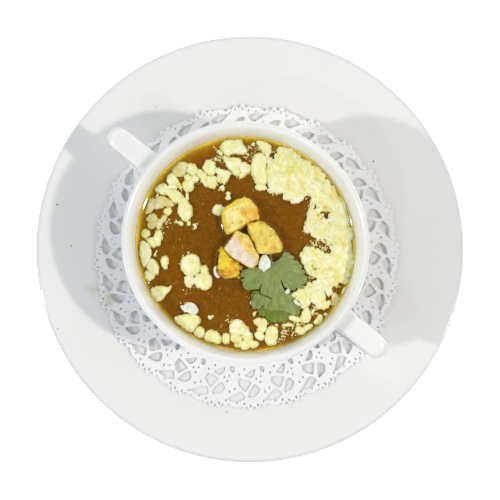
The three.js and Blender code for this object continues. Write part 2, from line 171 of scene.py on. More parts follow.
floor_mesh = bmesh.new()
bmesh.ops.create_grid(floor_mesh, x_segments=8, y_segments=8, size=3)
bmesh.ops.translate(floor_mesh, verts=floor_mesh.verts, vec=(0, 0, -0.0001))
floor_white = material(
    "floor_white", (0.9, 0.9, 0.9, 1), Roughness=0.9, Emission_Color=(1, 1, 1, 1), Emission_Strength=0.5)[0]
made_object("floor", floor_mesh, floor_white)


# Plate: a plain flat plate of white porcelain, thrown in one piece with a foot ring underneath.
# A clear glaze covers it, a little uneven from the kiln, with a few dark pinholes.


def curve(start, lean_out, lean_in, end, count):
    """Points of (radius, height) on a bent line."""
    corners = [Vector((x, 0, z)) for x, z in (start, lean_out, lean_in, end)]
    return [(p.x, p.z) for p in geometry.interpolate_bezier(*corners, count)]


def thrown(outline, steps):
    """A round piece, thrown as on a wheel from a half outline of (radius, height) in millimetres."""
    clay = bmesh.new()
    corners = [clay.verts.new((x * MM, 0, z * MM)) for x, z in outline]
    edges = [clay.edges.new(pair) for pair in zip(corners, corners[1:])]
    bmesh.ops.spin(
        clay, geom=corners + edges, cent=(0, 0, 0), axis=(0, 0, 1), angle=math.tau, steps=steps,
        use_merge=True)
    bmesh.ops.remove_doubles(clay, verts=clay.verts, dist=1e-6)
    bmesh.ops.recalc_face_normals(clay, faces=clay.faces)
    return clay


plate_rim = curve((110.1, 14.6), (96.4, 11.7), (80, 7.0), (72.0, 7.0), 30)
plate_outline = [
    (0, 2.4), (28, 2.4), (55.6, 2.4), (56.6, 2.1), (57.4, 0.35), (58, 0.05), (59.4, 0.05), (60, 0.35),
    (61, 2.0), (62.6, 2.4), *curve((63.5, 2.4), (76, 2.4), (88, 5.7), (112.7, 12.3), 22),
    *curve((112.9, 12.6), (112.9, 14.5), (112.0, 15.2), (110.6, 14.7), 9),
    *plate_rim, (69, 7.0), (40, 7.0), (0, 7.0),
]
plate_mesh = thrown(plate_outline, 180)


def plate_height(reach):
    """How high the top of the plate lies at a distance from its middle."""
    if reach < plate_rim[-1][0]:
        return plate_rim[-1][1]
    outer, inner = next((a, b) for a, b in zip(plate_rim, plate_rim[1:]) if b[0] <= reach)
    return inner[1] + (outer[1] - inner[1]) * (reach - inner[0]) / (outer[0] - inner[0])


def limited(value, low=0, high=1):
    """A value kept between two limits."""
    return min(max(value, low), high)


def mixed(tree, factor, first, second, blend="MIX"):
    """Two colours mixed by a number."""
    made = node(tree, "Mix", {"data_type": "RGBA", "blend_type": blend})
    for socket, value in zip((made.inputs[0], made.inputs[6], made.inputs[7]), (factor, first, second)):
        plug(tree, socket, value)
    return made.outputs[2]


def cloudy(tree, place, scale, detail, **more):
    """A number that varies softly from place to place."""
    return node(tree, "TexNoise", Vector=place, Scale=scale, Detail=detail, **more).outputs["Fac"]


def strewn(tree, place, scale):
    """Dots strewn about: how far off the middle of the nearest is, and a chance number that each has."""
    cells = node(tree, "TexVoronoi", Vector=place, Scale=scale).outputs
    return cells["Distance"], node(tree, "SeparateColor", Color=cells["Color"]).outputs["Red"]


def painted(tree, layer):
    """A number painted into the mesh."""
    return node(tree, "Attribute", {"attribute_name": layer}).outputs["Fac"]


def surfaced(tree, shader, colour, strength, depth, height):
    """Gives a shader its colour and a fine relief, which is returned too."""
    plug(tree, shader.inputs["Base Color"], colour)
    relief = node(tree, "Bump", Strength=strength, Distance=depth, Height=height).outputs["Normal"]
    plug(tree, shader.inputs["Normal"], relief)
    return relief


def juice_blot(tree, place, body, middle, share):
    """A ragged blot of green juice that ran off a herb and dried, round a place in millimetres."""
    away = vector_sums(tree, "DISTANCE", place, VIEW_TURN @ Vector(middle) * MM)
    ragged = cloudy(tree, place, 240.0, 3.0)
    out = sums(tree, "ADD", sums(tree, "DIVIDE", away, 0.0095), ragged)
    fading = ramp(tree, out, (0.55, (share, share, share, 1)), (1.0, (0, 0, 0, 1)))
    return mixed(tree, fading, body, rgb(168, 176, 96))


def porcelain(name, white, thin, used):
    """White glazed porcelain. The glaze pools and ripples faintly. Where the mesh is painted so, it turns to the
    grey thin tone, a painted shade on parts that turn away from the light. Used ware carries dark pinholes and a
    blot of juice as well."""
    made, tree, shader = material(
        name, Roughness=0.16, Specular_IOR_Level=0.42, Coat_Weight=0.25, Coat_Roughness=0.05)
    place = node(tree, "TexCoord").outputs["Object"]
    pooling = cloudy(tree, place, 38.0, 3.0)
    body = ramp(tree, pooling, (0.3, (*[v * 0.985 for v in white[:3]], 1)), (0.7, white))
    if used:
        away, odds = strewn(tree, place, 42.0)
        near = sums(tree, "LESS_THAN", away, 0.022)
        chosen = sums(tree, "GREATER_THAN", odds, 0.86)
        pinhole = sums(tree, "MULTIPLY", sums(tree, "MULTIPLY", near, chosen), 0.5)
        body = mixed(tree, pinhole, body, rgb(96, 96, 80))
        body = juice_blot(tree, place, body, (-82.5, -22, 8.8), 0.3)
    # Painted shade: the grey thin tone is mixed in as far as the mesh's painted share goes.
    body = mixed(tree, painted(tree, "edge"), body, thin)
    surfaced(tree, shader, body, 0.25, 0.00012, cloudy(tree, place, 90.0, 2.0))
    return made


def paint_shade(whole, share):
    """Paints into the mesh how far a second, darker tone shows: a painted shade where a surface turns away from
    the light or lies in shadow. The share is told at each place in millimetres."""
    layer = whole.verts.layers.float.new("edge")
    for vert in whole.verts:
        vert[layer] = limited(share(vert.co / MM))


# Painted shade: the rounded outer edge of the plate is painted greyer, where it turns away from the light.
paint_shade(plate_mesh, lambda spot: (spot.xy.length - 110.8) / 2.1)
plate = made_object(
    "plate_glazed", plate_mesh, porcelain("plate_glaze", (0.83, 0.83, 0.82, 1), (0.55, 0.55, 0.54, 1), True))
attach(plate, "root")
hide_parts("plate")


# Doily: a round of embossed white paper under the cup, punched through by a die into beaded lace. Its
# middle is plain and flat, and the lace curls up off the plate and waves a little at the edge.
DOILY_ASIDE = Vector((-1.8, -4.55, 7.08))
DOILY_PLACE = VIEW_TURN @ DOILY_ASIDE * MM
DOILY_UNITS = 24
DOILY_FIRST = math.radians(14.9)
DOILY_FLAT = 33.0
DOILY_RADIUS = 81.0
PAPER_THICK = 0.16
PINHOLE_HALF = 0.42
PLAIN_RINGS = [57, 51, 44, 38, 33]
# One unit of the lace, as (radius, place in the unit) of the corners of its holes.
LACE_HOLES = [
    [(64.5, -0.21), (66.5, 0.17), (67.6, 0.15), (71.8, -0.01), (71.4, -0.08), (68.2, -0.26), (66.6, -0.25)],
    [(75.0, 0.05), (73.6, 0.06), (70.8, 0.11), (67.3, 0.25), (70.3, 0.40), (72.6, 0.36), (74.4, 0.24)],
    [(76.6, -0.53), (75.2, -0.44), (71.3, -0.17), (73.4, -0.06), (75.4, -0.01), (77.0, -0.18), (77.3, -0.34)],
    [(59.4, 0.30), (61.4, 0.10), (63.5, -0.08), (64.9, 0.16), (62.3, 0.29)],
    [(58.6, 0.43), (59.0, 0.61), (62.3, 0.60), (61.5, 0.46)],
]
# Its pinholes, as (radius, place in the unit, length, tilt from the ray).
LACE_PINHOLES = [
    (72.2, 0.53, 1.5, 0.3), (70.6, 0.67, 1.3, 0.0), (65.2, 0.31, 1.2, -0.4), (67.0, 0.43, 1.3, -0.5),
    (64.0, 0.46, 1.1, 0.4), (62.8, 0.77, 1.2, 0.0), (60.0, 0.94, 1.1, 0.2), (77.0, 0.46, 1.5, -0.4),
    (79.0, 0.30, 1.9, 0.0), (79.3, 0.11, 1.9, 0.2), (78.1, 0.95, 1.6, -0.4), (77.8, 0.76, 1.4, -0.7),
]
# The outer edge, as (radius, place in the unit) of the tops and dips of its beads.
LACE_EDGE = [
    (81.5, 0.08), (81.5, 0.14), (79.2, 0.205), (81.2, 0.27), (81.2, 0.33), (78.3, 0.385), (79.4, 0.43),
    (79.4, 0.49), (78.2, 0.55), (79.5, 0.62), (80.2, 0.76), (79.9, 0.86), (79.4, 0.89), (80.5, 0.93),
    (80.5, 0.98), (79.2, 1.02),
]


def lace_spot(radius, place):
    """A flat place in the lace from its radius and how far round it is, in units."""
    angle = DOILY_FIRST + place * math.tau / DOILY_UNITS
    return Vector((math.cos(angle), math.sin(angle), 0)) * radius * MM


def softened(corners, rounds=2):
    """A closed outline with its corners cut round."""
    for _ in range(rounds):
        legs = zip(corners, corners[1:] + corners[:1])
        corners = [spot for a, b in legs for spot in (a.lerp(b, 0.25), a.lerp(b, 0.75))]
    return corners


def outline_edges(sheet, corners):
    """Adds a closed outline to a mesh and returns its edges."""
    verts = [sheet.verts.new(p) for p in corners]
    return [sheet.edges.new(pair) for pair in zip(verts, verts[1:] + verts[:1])]


def curl(sheet):
    """Curls the flat lace up and waves its edge. It rises least at its front, where it lies on the plate."""
    for vert in sheet.verts:
        out = (vert.co.length / MM - DOILY_FLAT) / (DOILY_RADIUS - DOILY_FLAT)
        if out > 0:
            angle = math.atan2(vert.co.y, vert.co.x)
            wave = 0.22 * math.sin(5 * angle + 1) + 0.16 * math.sin(11 * angle) + 0.1 * math.sin(24 * angle)
            front = max(math.cos(angle + 1.55), 0) ** 4
            back = max(math.cos(angle - 1.9), 0) ** 2
            curled = (2.7 + wave - 1.8 * front - 0.7 * back) * out ** 0.8
            rise = plate_height((vert.co.xy / MM + DOILY_ASIDE.xy).length) - plate_height(0)
            vert.co.z += max(curled, rise + 0.5 * out) * MM


def add_to(whole, part, turn=0.0):
    """Copies one mesh into another, turned about the upright."""
    carrier = bpy.data.meshes.new("carrier")
    part.to_mesh(carrier)
    carrier.transform(Matrix.Rotation(turn, 4, "Z"))
    whole.from_mesh(carrier)
    bpy.data.meshes.remove(carrier)


lace = bmesh.new()
lace_edges = outline_edges(lace, softened([
    lace_spot(radius, unit + place) for unit in range(DOILY_UNITS) for radius, place in LACE_EDGE], 1))
for unit in range(DOILY_UNITS):
    for hole in LACE_HOLES:
        corners = [lace_spot(radius, unit + place) for radius, place in hole]
        lace_edges += outline_edges(lace, softened(corners, 1))
    for radius, place, length, tilt in LACE_PINHOLES:
        middle = lace_spot(radius, unit + place)
        turn = Matrix.Rotation(DOILY_FIRST + (unit + place) * math.tau / DOILY_UNITS + tilt, 3, "Z")
        lace_edges += outline_edges(lace, [
            middle + turn @ Vector((length / 2 * math.cos(k), PINHOLE_HALF * math.sin(k), 0)) * MM
            for k in (i * math.tau / 8 for i in range(8))])
middle_edges = outline_edges(lace, [lace_spot(PLAIN_RINGS[0], i / 2) for i in range(DOILY_UNITS * 2)])
bmesh.ops.triangle_fill(lace, use_beauty=True, edges=lace_edges + middle_edges)
for outer, inner in zip(PLAIN_RINGS, PLAIN_RINGS[1:]):
    made = bmesh.ops.extrude_edge_only(lace, edges=middle_edges)["geom"]
    ring = [v for v in made if isinstance(v, bmesh.types.BMVert)]
    middle_edges = [e for e in made if isinstance(e, bmesh.types.BMEdge) and all(v in ring for v in e.verts)]
    bmesh.ops.scale(lace, verts=ring, vec=(inner / outer, inner / outer, 1))
bmesh.ops.contextual_create(lace, geom=middle_edges)
bmesh.ops.recalc_face_normals(lace, faces=lace.faces)
curl(lace)
bmesh.ops.solidify(lace, geom=lace.faces[:], thickness=PAPER_THICK * MM)
# Painted shade: the lace is painted greyer on its left, and less on its right, where the cup's shadows from the
# lamps fall on it.
paint_shade(lace, lambda spot: (
    0.8 * limited((-spot.x / max(spot.xy.length, 1) - 0.76) / 0.2)
    + 0.45 * limited((spot.x / max(spot.xy.length, 1) - 0.7) / 0.2)))
bmesh.ops.rotate(lace, verts=lace.verts, cent=(0, 0, 0), matrix=VIEW_TURN.to_3x3())
bmesh.ops.translate(lace, verts=lace.verts, vec=DOILY_PLACE + Vector((0, 0, PAPER_THICK * MM)))

paper, paper_tree, paper_shader = material(
    "lace_paper", Roughness=0.85, Specular_IOR_Level=0.2, Sheen_Weight=0.15, Sheen_Roughness=0.6)
paper_place = node(paper_tree, "TexCoord").outputs["Object"]
fibre = cloudy(paper_tree, paper_place, 900.0, 4.0, Roughness=0.7)
pressed = strewn(paper_tree, paper_place, 700.0)[0]
relief = sums(
    paper_tree, "ADD", sums(paper_tree, "MULTIPLY", fibre, 0.5), sums(paper_tree, "MULTIPLY", pressed, 0.5))
paper_tone = ramp(paper_tree, fibre, (0.35, (0.92, 0.92, 0.935, 1)), (0.65, (0.965, 0.96, 0.97, 1)))
# Painted shade: the paper turns greyer where the mesh is painted so, on its shaded left and right.
paper_tone = mixed(paper_tree, painted(paper_tree, "edge"), paper_tone, (0.8, 0.8, 0.82, 1))
paper_tone = juice_blot(paper_tree, paper_place, paper_tone, (-74.5, -26.5, 9.4), 0.75)
surfaced(paper_tree, paper_shader, paper_tone, 0.5, 0.00012, relief)
glow = node(paper_tree, "BsdfTranslucent", Color=paper_tone)
thin_paper = node(paper_tree, "MixShader", Fac=0.16)
plug(paper_tree, thin_paper.inputs[1], paper_shader.outputs["BSDF"])
plug(paper_tree, thin_paper.inputs[2], glow.outputs["BSDF"])
plug(paper_tree, paper_tree.nodes["Material Output"].inputs["Surface"], thin_paper.outputs["Shader"])

doily = made_object("doily_lace", lace, paper, smooth=False)
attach(doily, "root")
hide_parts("doily")


# Cup: a deep two-handled soup cup of white porcelain with a rounded lip, on a foot ring. The straps
# of its handles are pulled flat, and their flared ends are stuck to the wall with slip before the glaze.
CUP_PLACE = VIEW_TURN @ Vector((-2.2, -1.3, 7.4)) * MM
OVAL_SHARE = 0.0157
OVAL_TURN = math.radians(9.6)


def drawn_oval(bowl):
    """Stretches a thrown bowl along one line, as the pull of the handles does in the kiln."""
    for vert in bowl.verts:
        stretch = 1 + OVAL_SHARE * math.cos(2 * (math.atan2(vert.co.y, vert.co.x) - OVAL_TURN))
        vert.co.x *= stretch
        vert.co.y *= stretch


cup_outline = [
    (0, 2.5), (14, 2.5), (26.4, 2.5), (27.3, 2.2), (28.2, 0.35), (28.8, 0.05), (30.2, 0.05), (30.8, 0.4),
    (31.2, 2.4), (31.7, 3.8), *curve((32.4, 4.5), (50, 8), (58, 27), (60, 56.8), 40),
    *curve((60, 57.0), (60, 58.45), (58.8, 58.4), (57.6, 57.7), 12),
    *curve((57.4, 57.58), (55.7, 56.5), (54.7, 51.6), (54, 48), 14),
    *curve((53.9, 47.6), (51.5, 38), (47.5, 8.4), (22, 7.2), 36), (16, 7.2), (0, 7.2),
]
cup_mesh = thrown(cup_outline, 192)
drawn_oval(cup_mesh)

STRAP_ROUTE = [
    (56.8, 50.2), (66, 50.8), (74, 50.8), (81.2, 50.8), (84.4, 49.4), (85.2, 45.2), (83.4, 39.4), (77, 34.9),
    (66, 31.6), (54.2, 28.7)]
STRAP_WIDE = 5.6
STRAP_THICK = 2.5
STRAP_TOP = 53.3
STRAP_ROUND = 5.9
STRAP_ASIDE = Vector((0.3, 0.9, 0)) * MM


def along(points, count):
    """Even places on a smooth line through points, each with the way the line runs there."""
    line = []
    for i in range(len(points) - 1):
        before, start, end, after = [Vector(points[limited(i + k, 0, len(points) - 1)]) for k in (-1, 0, 1, 2)]
        reach = 1 / 3 * (end - start).length / max((end - before).length, 1e-9)
        lead = 1 / 3 * (end - start).length / max((after - start).length, 1e-9)
        leg = geometry.interpolate_bezier(
            start.to_3d(), (start + (end - before) * reach).to_3d(), (end - (after - start) * lead).to_3d(),
            end.to_3d(), 24)
        line += leg[:-1] if i < len(points) - 2 else leg
    spans = [0]
    for a, b in zip(line, line[1:]):
        spans.append(spans[-1] + (b - a).length)
    places = []
    for k in range(count):
        goal = spans[-1] * k / (count - 1)
        i = min(max(n for n, span in enumerate(spans) if span <= goal + 1e-9), len(line) - 2)
        share = (goal - spans[i]) / (spans[i + 1] - spans[i])
        places.append((line[i].lerp(line[i + 1], share), (line[i + 1] - line[i]).normalized()))
    return places


def pulled_strap():
    """One handle: a section like a flattened bar, pulled along the route and pressed on at both ends."""
    strap = bmesh.new()
    ring = bmesh.ops.create_circle(strap, segments=28, radius=1)["verts"]
    section = [
        (math.copysign(abs(v.co.x) ** 0.5, v.co.x), math.copysign(abs(v.co.y) ** 0.6, v.co.y)) for v in ring]
    edges = strap.edges[:]
    first_edges = edges
    places = along(STRAP_ROUTE, 64)
    last = len(places) - 1
    for k, (place, way) in enumerate(places):
        if k:
            made = bmesh.ops.extrude_edge_only(strap, edges=edges)["geom"]
            edges = [e for e in made if isinstance(e, bmesh.types.BMEdge) and all(v in made for v in e.verts)]
            ring = [v for v in made if isinstance(v, bmesh.types.BMVert)]
        flare = max(0, 1 - k / 11) ** 2 + max(0, 1 - (last - k) / 9) ** 2
        bend = (2 * max(way.x, 0) * way.y) ** 2
        foot = limited(1.1 - (place.x - 60) / 20) if place.y < 40 else 0
        up = Vector((-way.y, way.x))
        for vert, (wide, thick) in zip(ring, section):
            across = wide * STRAP_WIDE * (1 + 0.3 * flare + 0.17 * foot)
            out = thick * STRAP_THICK * (1 + 0.85 * flare + (0.36 * bend if thick > 0 else 0))
            spot = Vector((place.x, place.y)) + up * out
            round_end = limited((spot.x - 76) / 6)
            bulge = math.sqrt(STRAP_ROUND ** 2 - min(abs(across), STRAP_ROUND - 0.1) ** 2)
            spot.x -= round_end * (STRAP_ROUND - bulge)
            vert.co = Vector((spot.x, across, spot.y)) * MM
    for loop in (first_edges, edges):
        bmesh.ops.contextual_create(strap, geom=loop)
    bmesh.ops.recalc_face_normals(strap, faces=strap.faces)
    return strap


def strap_shade(spot):
    """How much painted shade a strap carries: at its roots, where the lip shades them; over the bend at the tip
    of the strap on the +x side, and down its side towards -y, which both lamps miss; down the sides below the
    flat top; and a faint share everywhere.
    """
    root = min((66.5 - abs(spot.x)) / 6, 0.3)
    bend = 0.3 * min(spot.x - 83, 1)
    front = (0.4 + 0.25 * limited((72 - spot.x) / 6)) * min((-2.7 - spot.y) / 1.8, 1) * limited(spot.x - 60)
    side = min((STRAP_TOP - 0.6 - spot.z) / 1.4, 1) * limited((spot.z - 43) / 4, 0.25, 0.9)
    return max(0.06, root, bend, front, side)


strap_mesh = pulled_strap()
straps = bmesh.new()
for side in (0, math.pi):
    add_to(straps, strap_mesh, side)
strap_mesh.free()
bmesh.ops.translate(straps, verts=straps.verts, vec=STRAP_ASIDE)
# Painted shade: the top of the lip greys a little towards its outside, and its outer rounding more, where it
# turns away from the light.
paint_shade(cup_mesh, lambda spot: 0 if spot.z < 56.9 else (
    0.12 * limited((spot.xy.length - 57) / 1.1) + 0.34 * limited(spot.xy.length - 59.1)))
# Painted shade on the straps: at their roots, at the tip and one side of one strap, and down their sides.
paint_shade(straps, strap_shade)
add_to(cup_mesh, straps)
straps.free()
bmesh.ops.translate(cup_mesh, verts=cup_mesh.verts, vec=CUP_PLACE)

cup = made_object(
    "cup_glazed", cup_mesh, porcelain("cup_glaze", (0.85, 0.85, 0.835, 1), (0.5, 0.505, 0.505, 1), False))
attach(cup, "root")
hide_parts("cup")


# Soup: thick brown chicken broth with turmeric and spices, filled to just below the flare of the cup.
# Fat gathers in a yellow ring where it climbs the wall, and fine specks and drops of oil float on it.
SOUP_LEVEL = 47.0
SOUP_RIM = 53.74
SOUP_TOP = 54.4

soup_mesh = thrown([
    (0, 7.3), (22, 7.35), *curve((22.6, 7.36), (46.5, 8.6), (51.2, 37.5), (53.4, 46.4), 16),
    (53.75, 47.2), (53.85, 47.9), (53.8, 48.0), (53.65, 47.83), (53.52, 47.742), (53.45, 47.7), (53.0, 47.448),
    (52.93, 47.412), (52.85, 47.376), (52.1, 47.052), (52.0, 47.02), (51.8, 47.004),
    *[(reach, SOUP_LEVEL) for reach in (51.0, 49, 44, 36, 24, 12, 0)]], 160)
drawn_oval(soup_mesh)
bmesh.ops.translate(soup_mesh, verts=soup_mesh.verts, vec=CUP_PLACE)

broth, broth_tree, broth_shader = material(
    "broth", Roughness=0.06, IOR=1.34, Specular_IOR_Level=0.5, Coat_Weight=0.0)
broth_place = node(broth_tree, "TexCoord").outputs["Object"]
in_cup = node(
    broth_tree, "Mapping", {"vector_type": "TEXTURE"}, Vector=broth_place, Location=CUP_PLACE,
    Rotation=(0, 0, OVAL_TURN), Scale=(1 + OVAL_SHARE, 1 - OVAL_SHARE, 1)).outputs["Vector"]
flat = vector_sums(broth_tree, "MULTIPLY", in_cup, (1 / MM, 1 / MM, 0))
waver = cloudy(broth_tree, broth_place, 70.0, 2.0)
from_wall = sums(broth_tree, "SUBTRACT", SOUP_RIM, vector_sums(broth_tree, "LENGTH", flat))
wavered = sums(broth_tree, "ADD", from_wall, sums(broth_tree, "MULTIPLY_ADD", waver, 1.6, -0.8))
front_way = Matrix.Rotation(-OVAL_TURN, 3, "Z") @ VIEW_TURN.to_3x3() @ Vector((0, -1 / 54, 0))
frontward = sums(broth_tree, "MAXIMUM", vector_sums(broth_tree, "DOT_PRODUCT", flat, front_way), 0.0)
thinning = sums(broth_tree, "MULTIPLY_ADD", frontward, 0.13, 0.1)
ring_share = sums(broth_tree, "MULTIPLY", wavered, thinning)
ring = ramp(
    broth_tree, ring_share,
    (0.0, rgb(250, 226, 92)), (0.05, rgb(238, 205, 56)), (0.1, rgb(214, 178, 34)), (0.18, rgb(184, 142, 22)),
    (0.32, rgb(158, 108, 16)), (0.5, rgb(141, 90, 14)), (0.8, rgb(132, 83, 13)))
cloud = cloudy(broth_tree, broth_place, 34.0, 3.0, Distortion=0.6)
inward = sums(broth_tree, "DIVIDE", from_wall, 54.0)
depth = ramp(broth_tree, inward, (0.3, (0, 0, 0, 1)), (0.85, (1, 1, 1, 1)))
deepened = mixed(broth_tree, sums(broth_tree, "MULTIPLY", depth, 0.45), ring, rgb(96, 62, 13))
clouded = mixed(broth_tree, sums(broth_tree, "MULTIPLY", cloud, 0.4), deepened, rgb(114, 70, 10))
fine = cloudy(broth_tree, broth_place, 520.0, 5.0, Roughness=0.7)
grain = ramp(broth_tree, fine, (0.34, (0.62, 0.6, 0.6, 1)), (0.62, (1.18, 1.22, 1.3, 1)))
grained = mixed(broth_tree, 0.6, clouded, grain, "MULTIPLY")
drop_away, drop_odds = strewn(broth_tree, broth_place, 620.0)
drop_reach = sums(broth_tree, "MULTIPLY_ADD", drop_odds, 0.5, -0.32)
oil_drop = sums(broth_tree, "LESS_THAN", drop_away, drop_reach)
grained = mixed(broth_tree, sums(broth_tree, "MULTIPLY", oil_drop, 0.5), grained, rgb(196, 158, 62))
surfaced(broth_tree, broth_shader, grained, 0.1, 0.0002, cloudy(broth_tree, broth_place, 260.0, 3.0))

soup = made_object("soup_broth", soup_mesh, broth)
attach(soup, "root")
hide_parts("soup")


# Curds: soft lumps of fresh cheese crumbled over the hot soup, steeped in its yellow fat. A piece is one
# lump or a few grown together, creased and grainy, and floats with its foot in the soup.

